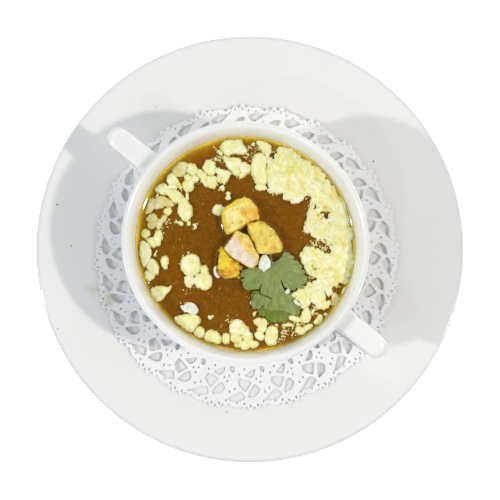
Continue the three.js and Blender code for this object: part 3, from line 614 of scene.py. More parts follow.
# Each piece is listed as the outlines of its lumps, in millimetres from the middle of the soup.
CURDS = [
    [[(-12.5, 46.8), (-12.5, 48.3), (-11.5, 50.2), (-9.6, 51), (-7.6, 51.2), (-5.6, 51.2), (-3.6, 52),
      (-2.6, 51.5), (-1.9, 49.8), (-1.1, 48.3), (-0.1, 46.8), (-0.1, 45.3), (-1.6, 44.3), (-3.1, 44.8),
      (-5.1, 44.6), (-7.1, 44.6), (-8.6, 43.3), (-10, 44.1), (-11.5, 45.3)]],
    [[(-11, 44.1), (-9.1, 42.6), (-6.6, 42.3), (-4.1, 42.6), (-2.9, 41.3), (-2.6, 39.4), (-3.9, 37.4),
      (-3.1, 34.9), (-4.1, 33.2), (-5.6, 33.7), (-7.1, 35.4), (-8.6, 36.9), (-9.6, 38.9), (-10.8, 40.6),
      (-11.3, 42.3)],
     [(-2.6, 39.6), (-1.1, 40.3), (0.3, 39.6), (1.8, 38.9), (2.3, 37.4), (2.1, 35.6), (0.3, 35.1),
      (-1.1, 34.4), (-2.6, 35.4), (-3.4, 37.4)],
     [(-3.6, 34.4), (-1.6, 35.1), (-0.1, 34.7), (-1.4, 33.2), (-3.1, 32.4)]],
    [[(4.8, 50.7), (6.8, 51.2), (8.8, 50.7), (10.7, 49.8), (12.2, 48.3), (11.7, 46.8), (12.7, 45.8),
      (11.2, 44.6), (11.2, 42.8), (10.2, 41.8), (9.5, 43.1), (8.8, 44.8), (7.5, 46.3), (6.8, 47.8), (5.8, 49.3)]],
    [[(4.3, 44.1), (5.8, 44.8), (7.8, 44.6), (9.3, 43.8), (9.8, 42.3), (9.9, 39.9), (9.6, 37.4), (9.9, 34.4),
      (10, 30.9), (9.3, 29.5), (7.3, 29.7), (5.3, 29.7), (4.1, 31.4), (3.1, 33.9), (2.6, 36.4), (2.8, 38.9),
      (3.1, 41.3), (3.8, 42.6)],
     [(4.3, 28.2), (5.3, 29.5), (7.3, 29.5), (9, 29.2), (10, 27.5), (9, 26.5), (6.8, 26.5), (4.8, 27.2)]],
    [[(-15, 37.4), (-13.5, 37.6), (-12, 36.6), (-10, 35.9), (-7.6, 35.1), (-7.8, 34.2), (-9.1, 32.9),
      (-9.3, 31.9), (-10.3, 30.7), (-10.5, 29.5), (-11.5, 29.9), (-12.5, 31.4), (-13, 33.2), (-14.3, 34.2),
      (-15, 35.6)],
     [(-14.5, 33.9), (-13.3, 32.9), (-13.5, 31.4), (-12.5, 30.4), (-14, 30.7), (-14.8, 32.4)]],
    [[(-20.2, 40.8), (-19, 41.4), (-17, 41.3), (-15.7, 40.6), (-15.4, 38.4), (-15.2, 35.9), (-16.2, 34.4),
      (-18, 33.9), (-19.7, 34.7), (-20.9, 36.1), (-21.2, 37.9), (-20.7, 39.6)]],
    [[(-19.7, 32.4), (-18.5, 33.5), (-16.5, 33.7), (-15, 32.7), (-14.5, 30.9), (-15, 29), (-16, 27.7),
      (-17.5, 27.5), (-19.2, 28.2), (-20.2, 29.9)],
     [(-22.4, 34.9), (-21.2, 35.1), (-20, 33.9), (-19.7, 32.4), (-20.4, 30.4), (-20, 28.5), (-21.4, 29.5),
      (-22.2, 31.4), (-22.7, 32.9)]],
    [[(-16.5, 17.1), (-15.7, 18.6), (-14.3, 19.1), (-12.8, 19.1), (-11.5, 17.8), (-10.5, 18.1), (-11.5, 16.6),
      (-12.3, 14.9), (-13.8, 13.9), (-15.5, 14.6), (-16.5, 15.8)]],
    [[(-37, 36.4), (-36.3, 37.9), (-34.8, 39.1), (-33.3, 40.3), (-31.6, 40.8), (-29.9, 40.1), (-29.4, 38.6),
      (-29.6, 36.9), (-30.6, 34.9), (-32.3, 33.8), (-34.1, 33.7), (-35.8, 34.5)]],
    [[(-28.9, 39.4), (-27.6, 39.9), (-25.9, 39.4), (-24.7, 38.1), (-24.4, 36.4), (-25.1, 34.9), (-26.4, 33.9),
      (-27.9, 34.4), (-28.9, 35.6), (-29.1, 37.4)],
     [(-24.3, 35.9), (-23.4, 36.9), (-21.9, 36.9), (-21.4, 35.4), (-21.9, 33.9), (-22.7, 32.4), (-23.7, 32.9),
      (-24.4, 34.4)]],
    [[(-31.8, 29.5), (-30.8, 30.7), (-28.9, 31.2), (-26.9, 31.7), (-26.1, 30.4), (-26.4, 28.7), (-26.4, 26.5),
      (-27.9, 26), (-29.6, 26.2), (-30.8, 27.2), (-31.7, 28.2)],
     [(-30.8, 33.2), (-30.1, 34.4), (-28.6, 34.7), (-27.6, 33.4), (-27.9, 31.9), (-29.4, 31.4), (-30.4, 32)],
     [(-27.4, 33.7), (-25.4, 34.2), (-23.9, 33.2), (-23.7, 31.7), (-24.4, 30.2), (-25.6, 30.9), (-26.9, 31.7)]],
    [[(-39, 32.9), (-38.5, 34.2), (-37, 34.7), (-35.5, 33.9), (-34.6, 32.2), (-33.8, 30.4), (-34.6, 29.5),
      (-36.3, 29.6), (-37.8, 29.5), (-38.8, 30.4), (-39.3, 31.7)],
     [(-38.5, 28.5), (-36.8, 29.2), (-34.8, 29.1), (-34.1, 28), (-35, 26.8), (-37, 26.7), (-38.5, 27.5)]],
    [[(-45, 27), (-44.2, 28.2), (-42.7, 29.2), (-41.2, 29.8), (-39.8, 29.2), (-38.8, 27.7), (-37.8, 26.2),
      (-39.3, 24.3), (-41.2, 24.5), (-43.2, 25), (-44.5, 25.7)],
     [(-39.3, 26.5), (-37.3, 26.2), (-35.3, 26.5), (-33.6, 25.7), (-32.1, 24.3), (-31.3, 22.3), (-31.8, 20.5),
      (-33.8, 20.1), (-35.8, 20.3), (-37, 22), (-38.8, 23.8), (-39.8, 25)],
     [(-32.8, 22), (-30.8, 22.5), (-29.4, 21.3), (-28.4, 19.8), (-27.4, 17.8), (-26.9, 15.6), (-27.6, 13.1),
      (-29.1, 11.4), (-30.6, 11.1), (-32.3, 12.6), (-33.3, 14.9), (-33.6, 17.3), (-33.1, 19.6)]],
    [[(-45.2, 21.5), (-44, 23.3), (-42.2, 23.6), (-39.8, 22.6), (-37.3, 21), (-35.8, 19.7), (-36.5, 18.3),
      (-38.8, 18.6), (-40.7, 18.6), (-42.7, 17.8), (-44.2, 16.8), (-45.4, 17.6), (-45.9, 19.6)],
     [(-47.9, 21.8), (-46.7, 22.5), (-45.4, 21), (-45.7, 18.6), (-46.4, 16.6), (-48.2, 15.1), (-49.8, 14.9),
      (-49.7, 16.3), (-48.8, 18.6), (-48.2, 20.3)]],
    [[(-49.2, 12.4), (-48.4, 13.9), (-46.9, 14.6), (-45.2, 14.1), (-44.3, 12.6), (-45.2, 11.4), (-46.7, 10.9),
      (-48.4, 11.1)],
     [(-48.7, 10.1), (-47.4, 11), (-45.9, 10.4), (-45.5, 8.9), (-46.4, 7.5), (-47.9, 7.7), (-48.9, 8.8)]],
    [[(-45, 10.9), (-43.7, 11.7), (-42.2, 11.4), (-41.7, 9.9), (-42.2, 8.2), (-43.2, 6.9), (-44.2, 7.9),
      (-45.1, 9.2)],
     [(-42.5, 11.9), (-41.2, 13.4), (-39.8, 14.2), (-39.3, 13.1), (-39.8, 11.6), (-41, 10.6), (-42, 10.6)]],
    [[(-40.7, 15.6), (-40.2, 17.1), (-39, 17.7), (-37.5, 17.1), (-37.1, 15.6), (-38, 14.4), (-39.5, 14.2)]],
    [[(-45.4, 3.7), (-44.7, 5.2), (-43, 6.4), (-42.2, 5.4), (-41.6, 3.5), (-42, 1.7), (-42.5, -0.2),
      (-43.7, -1.5), (-44.7, -0), (-45.4, 1.7)],
     [(-49.7, 1.7), (-48.4, 2.6), (-46.9, 2.7), (-45.7, 1.7), (-44.7, -0), (-45, -1.5), (-46.4, -1.7),
      (-47.9, -0.5)]],
    [[(-51.7, 5.2), (-51.1, 6.5), (-49.7, 7), (-48.2, 6), (-47.8, 4.5), (-48.7, 3.1), (-50.2, 2.8),
      (-51.4, 3.7)]],
    [[(-52.1, 1), (-50.6, 1.2), (-49.2, -0), (-47.9, -1.5), (-47, -3.5), (-47.2, -6.2), (-48.2, -8.7),
      (-49.4, -10.6), (-50.6, -11.4), (-51.6, -9.4), (-52.1, -6.7), (-52.4, -2.7)]],
    [[(-48.4, -9.2), (-47.2, -7.6), (-45.4, -8.2), (-44, -10.1), (-43.2, -12.6), (-43.7, -14.9),
      (-45.4, -15.3), (-46.9, -14.6), (-48.4, -13.1), (-49.3, -11.5)],
     [(-50.2, -14.4), (-49.2, -13.5), (-47.7, -14.5), (-45.4, -15.7), (-45.4, -16.8), (-46.9, -18.3),
      (-48.4, -18.2), (-49.7, -16.8)]],
    [[(-42.1, -8.9), (-41.5, -7.2), (-40.2, -6.1), (-39, -7.2), (-38.8, -8.9), (-38.6, -10.4), (-39.5, -12.1),
      (-40.5, -12.6), (-41.6, -11.1)]],
    [[(-32.1, -10.1), (-31.6, -7.9), (-30.1, -6.4), (-28.1, -5.6), (-26.1, -5.6), (-24.4, -6.7), (-23.2, -8.7),
      (-22.7, -11.1), (-23.2, -13.6), (-24.9, -15.3), (-27.1, -16.1), (-29.4, -15.3), (-31.1, -13.6),
      (-31.9, -11.9)],
     [(-25.1, -17.1), (-23.9, -15.6), (-21.9, -15), (-19.5, -15.2), (-17.7, -16.3), (-17, -18.3),
      (-17.7, -20.5), (-19.2, -22.3), (-20.9, -23.2), (-22.2, -22), (-24.2, -21.8), (-24.9, -20.1),
      (-25.6, -18.6)],
     [(-30.1, -17), (-28.6, -16.1), (-26.9, -16.3), (-25.3, -17.3), (-25.6, -19.1), (-26.6, -20.1),
      (-27.4, -21.8), (-28.6, -21.3), (-29.9, -20.5), (-30.3, -18.8)],
     [(-22.4, -11.4), (-21.4, -10.9), (-19.7, -11.1), (-19, -13.1), (-18.8, -15.1), (-20.7, -15),
      (-22.4, -14.4)]],
    [[(-47.2, -23), (-45.9, -21.8), (-43.7, -21.2), (-41.2, -21.3), (-39.3, -21.8), (-38, -21.7),
      (-37.3, -20.5), (-37.4, -22.3), (-38.5, -23.8), (-40, -25), (-40.5, -26.2), (-41.7, -28), (-43.5, -28.6),
      (-45, -27), (-46.4, -25.2)]],
    [[(-35.5, -37.4), (-34.6, -36.1), (-32.8, -35.6), (-31.1, -35.9), (-29.4, -35.1), (-26.9, -34.9),
      (-24.7, -35.1), (-23.4, -36.6), (-23, -38.4), (-23.9, -40.3), (-25.6, -42.1), (-27.1, -43.3),
      (-28.9, -43.1), (-31.3, -41.3), (-33.8, -39.4)]],
    [[(-25.9, -43.6), (-24.7, -41.8), (-22.9, -41.1), (-21.2, -42.1), (-20.4, -43.8), (-21, -45.5),
      (-22.2, -46.4), (-24.2, -45.8), (-25.6, -44.7)]],
    [[(-20.5, -45.9), (-19.7, -44.1), (-18, -43), (-16, -43), (-14, -44.3), (-12.5, -46.3), (-12.5, -48.3),
      (-13.5, -49.4), (-16.5, -48.9), (-19, -48.2), (-20.4, -47.3)]],
    [[(-11.8, -46), (-11, -44.8), (-9.6, -44.5), (-8.4, -45.3), (-8.1, -47), (-8.6, -48.8), (-10, -49.5),
      (-11.3, -48.8), (-11.9, -47.5)]],
    [[(-7.6, -39.1), (-6.3, -37.9), (-4.6, -37.6), (-2.6, -38.1), (-1.1, -39.6), (-0.1, -41.3), (-0.6, -43.3),
      (-1.9, -44.3), (-4.1, -44.6), (-6.6, -44.6), (-8.3, -43.8), (-7.8, -41.6)],
     [(-7.7, -45.5), (-6.1, -45.1), (-4.1, -45.2), (-2.4, -45.8), (-2.4, -47), (-3.6, -48.5), (-5.8, -48.8),
      (-7.6, -47.8)],
     [(-1.6, -44.3), (-0.1, -43.1), (1.3, -43.2), (2.6, -44.8), (3.1, -46.8), (2.3, -48.1), (0.8, -48.3),
      (-0.9, -47.5), (-1.9, -45.8)],
     [(-2.6, -48.4), (-0.6, -48.2), (1.1, -49), (1.4, -50.7), (0.3, -52), (-1.6, -51.9), (-3.1, -51),
      (-3.4, -49.5)],
     [(1.7, -48.7), (3.1, -47.7), (5, -48.3), (5.9, -49.8), (5, -51.2), (3.1, -51.6), (1.8, -50.7)],
     [(0.6, -40.7), (1.3, -41.8), (1.3, -43.3), (0.1, -43.1), (0.1, -41.8)],
     [(-6.1, -49.8), (-4.1, -49.5), (-2.9, -50.5), (-3.1, -51.5), (-5.1, -51.1)]],
    [[(3.6, -37.9), (5.3, -37.1), (6.8, -36.9), (7.5, -38.4), (6.8, -40.6), (5.5, -40.6), (4.6, -39.4)],
     [(7.2, -37.4), (8.8, -36.9), (9.8, -38.1), (10.1, -40.3), (9.9, -42.8), (8.3, -43.8), (6.5, -43.1),
      (5.3, -42.6), (5.8, -41.3), (7, -40.1)],
     [(4.3, -44.3), (5.5, -43.6), (7.3, -44), (8.8, -45.3), (8.7, -46.8), (7.3, -47.7), (5.7, -47),
      (4.6, -45.8)]],
    [[(10.6, -41.8), (11.7, -40.8), (13.5, -40.8), (15, -42.1), (15.3, -44.3), (15, -46.8), (14.5, -49.3),
      (12.7, -50.1), (11, -50), (9.5, -48.5), (9.3, -46.5), (10.1, -44.1)]],
    [[(28.3, -32.4), (29.6, -31.3), (31, -32.4), (31.7, -34.7), (31.4, -37.1), (30, -38.9), (28.1, -39.1),
      (27.1, -38.1), (27.3, -35.4)],
     [(21.1, -36.4), (22.4, -35.3), (24.4, -36.1), (26.6, -36.9), (26.9, -38.5), (24.9, -38.8), (22.1, -38)]],
    [[(31.3, -25.5), (32.8, -23.3), (35, -22.8), (37.5, -23.5), (39.2, -25.2), (39, -27.5), (37.5, -29.1),
      (35, -30), (32.8, -29.5), (31.4, -27.5)],
     [(36.5, -30), (38.5, -29), (40.7, -27.7), (41.6, -28.7), (41.2, -30.4), (39.7, -31.9), (37.7, -32.4),
      (35.5, -32.2), (34.3, -31.4), (34.8, -30.4)]],
    [[(42.6, -25.2), (43.9, -24.5), (45.5, -26), (46, -28), (44.9, -29.9), (43.4, -30.7), (42.3, -30),
      (42.4, -28)]],
    [[(35.2, -36.1), (36.5, -35.1), (37.7, -35.9), (37.5, -37.9), (36, -39.4), (34.3, -39.6), (33.3, -38.8),
      (34.5, -37.6)]],
    [[(23.9, -42.3), (25.1, -41.2), (27.1, -41.3), (28.6, -42.7), (29.6, -43.6), (28.1, -45), (26.3, -45),
      (24.9, -43.8)],
     [(28.3, -41), (30, -40.2), (32, -39.7), (33.2, -40.3), (32.2, -41.7), (30.3, -42.8), (29.1, -42.4)]],
]

# The pieces that float so low that the soup washes over them.
SUNKEN = {9, 14, 15, 16, 34}

GARNISH_PLACE = (
    Matrix.Translation(VIEW_TURN @ Vector((-1.8, -1.3, SOUP_TOP)) * MM) @ VIEW_TURN @ Matrix.Scale(MM, 4))
CURD_GRAIN = 0.3
CURD_FOOT = -0.7

# Noise that bends and frays is seeded, so that each run crumbles the curd alike.
noise.seed_set(5)


def widened(corners, out):
    """An outline pushed outwards from its middle."""
    middle = sum([Vector(p) for p in corners], Vector((0, 0))) / len(corners)
    return [tuple(Vector(p) + (Vector(p) - middle).normalized() * out) for p in corners]


def at_height(corners, height=0):
    """Flat corners as places at a height."""
    return [Vector((x, y, height)) for x, y in corners]


def drawn_up(heap, faces, rise):
    """Draws flat faces up into a solid."""
    made = bmesh.ops.extrude_face_region(heap, geom=faces)["geom"]
    bmesh.ops.translate(heap, verts=[v for v in made if isinstance(v, bmesh.types.BMVert)], vec=(0, 0, rise))


def slab(heap, corners, low, high):
    """Adds an upright slab with a softened outline to a heap."""
    outline = softened(at_height(corners), 1)
    drawn_up(heap, [heap.faces.new([heap.verts.new((x, y, low)) for x, y, _ in outline])], high - low)


def grown_together(heap, grain, smoothing):
    """One soft skin over a heap of slabs and lumps."""
    bmesh.ops.recalc_face_normals(heap, faces=heap.faces)
    data = bpy.data.meshes.new("heap")
    heap.to_mesh(data)
    heap.free()
    thing = bpy.data.objects.new("heap", data)
    bpy.context.scene.collection.objects.link(thing)
    skin = thing.modifiers.new("skin", "REMESH")
    skin.mode = "VOXEL"
    skin.voxel_size = grain
    soft = bmesh.new()
    soft.from_object(thing, bpy.context.evaluated_depsgraph_get())
    bpy.data.objects.remove(thing)
    bpy.data.meshes.remove(data)
    for _ in range(smoothing):
        bmesh.ops.smooth_vert(
            soft, verts=soft.verts, factor=0.5, use_axis_x=True, use_axis_y=True, use_axis_z=True)
    return soft


def inside(corners, spot):
    """Whether a place lies within an outline seen from above."""
    hits = 0
    for (ax, ay), (bx, by) in zip(corners, corners[1:] + corners[:1]):
        if (ay > spot[1]) != (by > spot[1]) and spot[0] < ax + (bx - ax) * (spot[1] - ay) / (by - ay):
            hits += 1
    return hits % 2 == 1


def off_line(spot, start, end):
    """How far a place lies from a straight line between two corners."""
    start, end = Vector(start), Vector(end)
    share = limited((spot - start).dot(end - start) / (end - start).length_squared)
    return (spot - start.lerp(end, share)).length


def edge_distance(corners, spot):
    """How far inside an outline a place lies. Outside it is less than nothing."""
    nearest = min(off_line(spot, a, b) for a, b in zip(corners, corners[1:] + corners[:1]))
    return nearest if inside(corners, spot) else -nearest


def curdle(soft, lump, rough, seed, fineness=lambda place: 0):
    """Swells a skin into curdled lumps, and marks the creases between them."""
    crease = soft.verts.layers.float.new("crease")
    lit_shoulder = soft.verts.layers.float.new("lit_shoulder")
    soft.normal_update()
    shifts = []
    for vert in soft.verts:
        place = vert.co + Vector((seed * 17.3, seed * 5.1, 0))
        ragged = noise.noise_vector(place * 0.8) * 0.5 + noise.noise_vector(place * 2.2) * 0.28
        bent = place + noise.noise_vector(place * 0.5) * 0.9
        near, far = noise.voronoi(bent / lump)[0][:2]
        fine = fineness(vert.co)
        broken = max(0, noise.noise(place * 0.4 + Vector((9, 0, 0))) + 0.75)
        split = max(0, 1 - (far - near) / 0.13) * broken
        swell = noise.noise(place * 0.31) * 0.5 + noise.noise(place * 1.1) * 0.22
        grains = noise.noise(place * 2.6) * (0.08 + 0.3 * fine)
        lumps = ((0.5 - near) * 0.55 - split * 0.26) * (1 - 0.6 * fine)
        shift = vert.normal * (rough * (swell + grains + lumps)) + Vector((ragged.x, ragged.y, 0))
        shifts.append((vert, shift, split * (1 - 0.7 * fine)))
    for vert, shift, split in shifts:
        vert.co += shift
        vert[crease] = split
    soft.normal_update()
    for vert, _, split in shifts:
        around = [edge.other_vert(vert).co for edge in vert.link_edges]
        hollow = (sum(around, Vector()) / len(around) - vert.co).dot(vert.normal)
        vert[crease] = limited(split * 0.6 + hollow * 8)
        # Marks the shoulders of the lumps, tilted about 37 degrees, for a painted highlight.
        vert[lit_shoulder] = max(0, 1 - abs(vert.normal.z - 0.8) / 0.2)


def curd_finish(name, dull, middling, white):
    """Fresh curd: blotched white, with yellow fat in its creases and round its foot."""
    made, tree, shader = material(
        name, Roughness=0.42, Specular_IOR_Level=0.4, Subsurface_Weight=0.25,
        Subsurface_Radius=(1.0, 0.8, 0.35), Subsurface_Scale=0.0012)
    place = node(tree, "TexCoord").outputs["Object"]
    body = ramp(tree, cloudy(tree, place, 260.0, 3.0), (0.32, dull), (0.5, middling), (0.68, white))
    body = mixed(tree, sums(tree, "MULTIPLY", painted(tree, "crease"), 0.85), body, rgb(228, 213, 84))
    # Painted highlight: the shoulders of the lumps are painted paler.
    body = mixed(tree, sums(tree, "MULTIPLY", painted(tree, "lit_shoulder"), 0.3), body, rgb(240, 239, 208))
    height = sums(tree, "SUBTRACT", node(tree, "SeparateXYZ", Vector=place).outputs["Z"], SOUP_TOP * MM)
    soaked = ramp(tree, sums(tree, "DIVIDE", height, 0.0022), (0.05, (1, 1, 1, 1)), (0.5, (0, 0, 0, 1)))
    body = mixed(tree, sums(tree, "MULTIPLY", soaked, 0.6), body, rgb(214, 196, 92))
    surfaced(tree, shader, body, 0.7, 0.00022, cloudy(tree, place, 1500.0, 3.0, Roughness=0.65))
    return made


curd_white = curd_finish("curd", rgb(229, 228, 146), rgb(236, 236, 182), rgb(242, 245, 220))
curd_soaked = curd_finish("curd_soaked", rgb(204, 192, 122), rgb(216, 208, 156), rgb(230, 227, 190))


def laid(name, soft, finish, slot, *nodes):
    """Puts a finished mesh of the garnish on the soup. It is the visual of the nodes that are named."""
    bmesh.ops.transform(soft, matrix=GARNISH_PLACE, verts=soft.verts)
    thing = made_object(name, soft, finish)
    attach(thing, "root")
    if nodes:
        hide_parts(*nodes)


for number, lumps in enumerate(CURDS, 1):
    heap = bmesh.new()
    for corners in lumps:
        thirds = [Vector(corners[k * len(corners) // 3]) for k in range(3)]
        top = 0.9 if number in SUNKEN else 0.8 + 0.3 * math.sqrt(geometry.area_tri(*thirds))
        slab(heap, widened(corners, 0.32), CURD_FOOT, top)
        slab(heap, widened(corners, 0.55), CURD_FOOT, 0.15)
    soft = grown_together(heap, CURD_GRAIN, 4)
    seams = []
    for vert in soft.verts:
        within = max(edge_distance(corners, vert.co.xy) for corners in lumps)
        seams.append(limited(0.8 - within / 0.75))
        vert.co.z -= 0.28 * seams[-1] * max(vert.co.z, 0)
    curdle(soft, 4.6, 0.5, number)
    crease_mark = soft.verts.layers.float["crease"]
    for vert, seam in zip(soft.verts, seams):
        vert[crease_mark] = min(vert[crease_mark] * 0.6 + 0.4 * seam, 1)
    finish = curd_soaked if number in SUNKEN else curd_white
    laid(f"curd_{number:02d}_soft", soft, finish, "curd", f"curd_{number:02d}")


# Drift: the heap of finely crumbled curd swept together on the right, with holes the soup shows through,
# and the small bits that broke off the other curds.
DRIFT_SHORE = [
    (17.7, 48), (19.7, 47.5), (21.6, 46.5), (24.1, 45), (26.1, 43.8), (27.6, 41.8), (29.6, 40.1), (32, 38.6),
    (34.5, 37.1), (36.5, 35.1), (38.5, 32.9), (40.4, 30.4), (41.9, 28.5), (43.9, 26.5), (45.9, 23.5),
    (47.9, 20), (49.6, 16.6), (50.8, 13.1), (51.6, 9.2), (52.2, 5.2), (52.1, 1.2), (52.3, -3.2), (52.3, -8.2),
    (51.6, -12.1), (50.1, -16.3), (47.9, -18.3), (45.9, -19.3), (44.8, -18.6), (44.4, -20.1), (43.4, -21.5),
    (42.4, -22), (41.9, -23.5), (42.9, -24.2), (41.2, -26.2), (39.7, -25.5), (39.2, -24), (37.5, -22.8),
    (35, -22), (32.8, -22.5), (31.3, -24), (30.8, -26.5), (31.3, -29), (30.3, -30.6), (27.6, -30.2),
    (26.1, -28.5), (25.6, -26.5), (24.1, -25.5), (23.6, -23.5), (25.6, -23), (28.1, -22.5), (29.6, -21),
    (30, -19.6), (31, -18.6), (33, -19.6), (34.5, -19.8), (36, -19.1), (35.5, -18.1), (34.5, -17.2),
    (33, -16.3), (31, -15.3), (29.6, -14.1), (29.3, -11.6), (28.6, -10.1), (27.1, -8.7), (27.1, -6.7),
    (28.1, -5.2), (29.1, -3.5), (31, -3), (32, -3.7), (34, -2.7), (36, -3.5), (38, -4.1), (39.5, -5),
    (41.4, -5.2), (42.9, -3.7), (41.9, -2.2), (42.4, -0.5), (41.4, -1.2), (39.5, -1), (38.5, 0.5), (37, 1.5),
    (35.5, 1.5), (34.3, 3), (33, 4.2), (31.8, 5.4), (30.5, 4.9), (28.8, 5.9), (28.1, 7.4), (28.8, 9.2),
    (29.3, 11.1), (30.5, 12.6), (30.5, 14.6), (30.8, 16.6), (31.8, 18.1), (32.3, 20), (33, 21.5), (32, 23),
    (31, 23.8), (29.8, 23.8), (28.6, 22.3), (27.1, 21), (25.6, 20.3), (24.1, 21), (22.6, 21.9), (20.6, 21.4),
    (19.5, 22), (19.3, 25), (18.7, 26.5), (16.7, 25.3), (14.7, 25.4), (12.2, 25.6), (11.7, 27), (10.5, 29.5),
    (10.3, 32.9), (10.2, 36.4), (10.1, 39.9), (10.7, 41.8), (12.2, 42.1), (13.2, 41.7), (14.7, 42.8),
    (16.2, 43.8), (17.2, 45.3), (16.4, 46.5)]
DRIFT_HOLES = [
    [(36.7, 17.2), (37.5, 17.8), (38.5, 17.5), (38, 16.9)],
    [(38, 14.9), (40, 15.6), (40.6, 14.1), (41.4, 12.4), (39.5, 12.1), (38.6, 13.6)],
    [(31.8, -9.6), (32.8, -10.1), (33.5, -11.8), (32.5, -11.6)],
    [(33.2, 21.5), (34.3, 19.8), (34.8, 18.3), (34, 16.8), (33.3, 16.1), (33, 17.2), (34, 18.3), (33, 20.3)],
    [(33.8, 23.4), (34.9, 23.3), (35, 22.2), (34.2, 22.4)],
    [(27.8, -20.5), (28.8, -21.2), (28.1, -21.4)],
    [(32.8, -22.7), (33.8, -22.7), (33.5, -23.2)],
]

# The larger lumps in the heap, as (x, y, width, depth), the places where it thins out to the soup, each with
# how far it reaches, and the seams where yellow fat gathers between lumps.
DRIFT_LUMPS = [
    (21.1, 42.9, 6.9, 4.5), (15.7, 40.0, 4.5, 3.0), (14.2, 30.0, 6.9, 6.9), (24.6, 26.6, 6.4, 9.9),
    (28.1, 36.5, 5.9, 5.9), (20.1, 36.5, 4.0, 5.9), (35.5, 29.1, 5.0, 6.9), (32.5, 34.0, 5.0, 5.0),
    (37.5, 23.6, 5.0, 5.9), (32.5, 14.2, 4.5, 4.5), (43.9, 14.2, 5.9, 9.9), (42.9, 5.8, 7.9, 6.9),
    (44.9, -3.1, 5.9, 8.9), (35.5, -7.6, 6.9, 5.9), (41.4, -10.5, 7.9, 5.9), (40.4, -17.5, 5.9, 4.5),
    (46.4, -15.5, 5.0, 4.5), (37.5, -21.4, 5.9, 4.0), (29.6, -8.1, 4.5, 4.5), (31.0, -13.0, 3.0, 4.0),
    (27.1, -25.9, 5.0, 5.9), (43.4, 25.6, 2.0, 5.9), (47.9, 18.2, 3.0, 6.9), (49.9, 10.7, 2.5, 4.5),
    (51.3, 4.3, 2.5, 5.9), (50.3, -5.6, 4.0, 9.9), (48.9, -12.0, 3.0, 4.0), (11.7, 35.5, 4.0, 5.0),
    (40.4, 19.2, 4.5, 5.0), (31.0, 29.1, 3.0, 4.0),
]
DRIFT_THIN = [((38.8, 14.6), 5.5), ((38.5, -1.5), 6), ((31.5, 21.5), 3), ((33.5, -12.5), 3.5)]
DRIFT_SEAMS = [
    ((10.0, 41.4), (10.0, 30.0)), ((12.7, 40.9), (16.7, 38.5)), ((24.6, 40.0), (20.6, 36.5)),
    ((20.6, 36.5), (21.1, 33.5)), ((26.6, 37.5), (27.6, 35.0)), ((26.1, 31.0), (29.1, 26.6)),
    ((21.1, 33.0), (20.6, 27.1)), ((34.5, 35.5), (34.5, 31.5)), ((42.9, 26.6), (42.9, 21.6)),
    ((41.4, -12.0), (37.5, -14.0)), ((44.4, -14.0), (44.4, -18.0)), ((39.5, 18.7), (37.5, 15.7)),
    ((46.9, 1.8), (48.9, -1.1)), ((32.5, -4.1), (34.5, -6.1)),
]

# The small bits, as outlines.
CURD_BITS = [
    [(-13.3, 27.7), (-12, 29.2), (-11, 28.5), (-10.8, 26.5), (-11.5, 25.5), (-12.5, 26.7)],
    [(-10.4, 23.3), (-9.1, 23.9), (-7.8, 23.5), (-7.6, 22), (-9.1, 21.3), (-10.5, 22)],
    [(-10.3, 25.2), (-9.1, 26.2), (-8.3, 25), (-7.1, 24.8), (-8.1, 23.9), (-9.6, 24)],
    [(-33.8, 30.9), (-32.8, 30.4), (-32.1, 28.7), (-31.9, 27.2), (-33.1, 26.7), (-33.6, 28), (-34.2, 29.7)],
    [(-30.5, 25.5), (-29.4, 25.8), (-28.6, 24.3), (-28.5, 22), (-29.2, 21.5), (-30, 22.5), (-30.3, 24)],
    [(-33.8, 10.9), (-32.6, 11.6), (-31.3, 10.7), (-30.7, 9.7), (-32.1, 8.4), (-33.3, 9.4)],
    [(-29.6, 10.6), (-28.9, 11.1), (-27.6, 11.4), (-27.4, 9.7), (-28.6, 8.7), (-29.6, 9.4)],
    [(-35.5, 11.1), (-34.1, 11.1), (-33.3, 10.2), (-34.8, 10.4)],
    [(-26.6, 8.9), (-25.9, 10), (-24.7, 9.5), (-24.2, 8.2), (-25.1, 6.9), (-26.4, 7), (-25.6, 8.2)],
    [(-45, 24.3), (-44, 25), (-43.5, 24.3), (-44.2, 22.8), (-45.2, 22.8)],
    [(-5.6, -49.6), (-3.9, -49.5), (-3.1, -50.4), (-4.4, -50.9), (-5.7, -50.5)],
    [(3.1, -34.4), (4.1, -33.8), (5.3, -33.7), (4.6, -34.9), (4.1, -36.1), (3.3, -35.6)],
    [(13.7, -39.9), (15, -39.4), (16.2, -40.3), (15.7, -41.2), (14.5, -40.8)],
    [(-19.2, -36.1), (-18.5, -35.4), (-17.2, -36.1), (-16.5, -35.1), (-16.2, -36.4), (-17.5, -37.4),
     (-18.7, -37.4)],
    [(37.9, -34.6), (39.2, -33.8), (40.3, -34.7), (40, -35.9), (38.5, -36)],
    [(17.2, -40.3), (19.2, -39.6), (21.6, -39.4), (23.4, -39.9), (22.6, -40.8), (20.1, -41), (18.2, -41.1)],
    [(24.6, -39.3), (26.1, -39.4), (27.1, -40.1), (25.6, -40.8), (24.5, -40.3)],
    [(47, -23.7), (48.4, -21.9), (49.3, -21.3), (49, -23), (47.9, -24.8), (47.2, -25)],
    [(32, -33.2), (33.5, -31.7), (34.3, -32.7), (33.5, -34.4), (32.3, -36.1), (31.9, -34.7)],
    [(-49.2, -18.8), (-47.9, -19.1), (-47.2, -19.8), (-48.4, -19.8)],
    [(-45.9, -6.2), (-45.2, -4.5), (-44, -3), (-43.7, -3.5), (-44.7, -5.2), (-45.7, -6.9)],
    [(-15, 46.5), (-13.5, 46.8), (-12.5, 45.8), (-11, 45), (-12, 43.8), (-13.5, 44.3), (-14, 45.5)],
    [(-16.5, 42.6), (-15.5, 43.1), (-14.3, 41.8), (-14.8, 40.6), (-15.7, 41.3)],
    [(2.3, 49), (3.3, 50.5), (4.6, 50.5), (4.1, 49.3), (3.1, 48.5)],
]

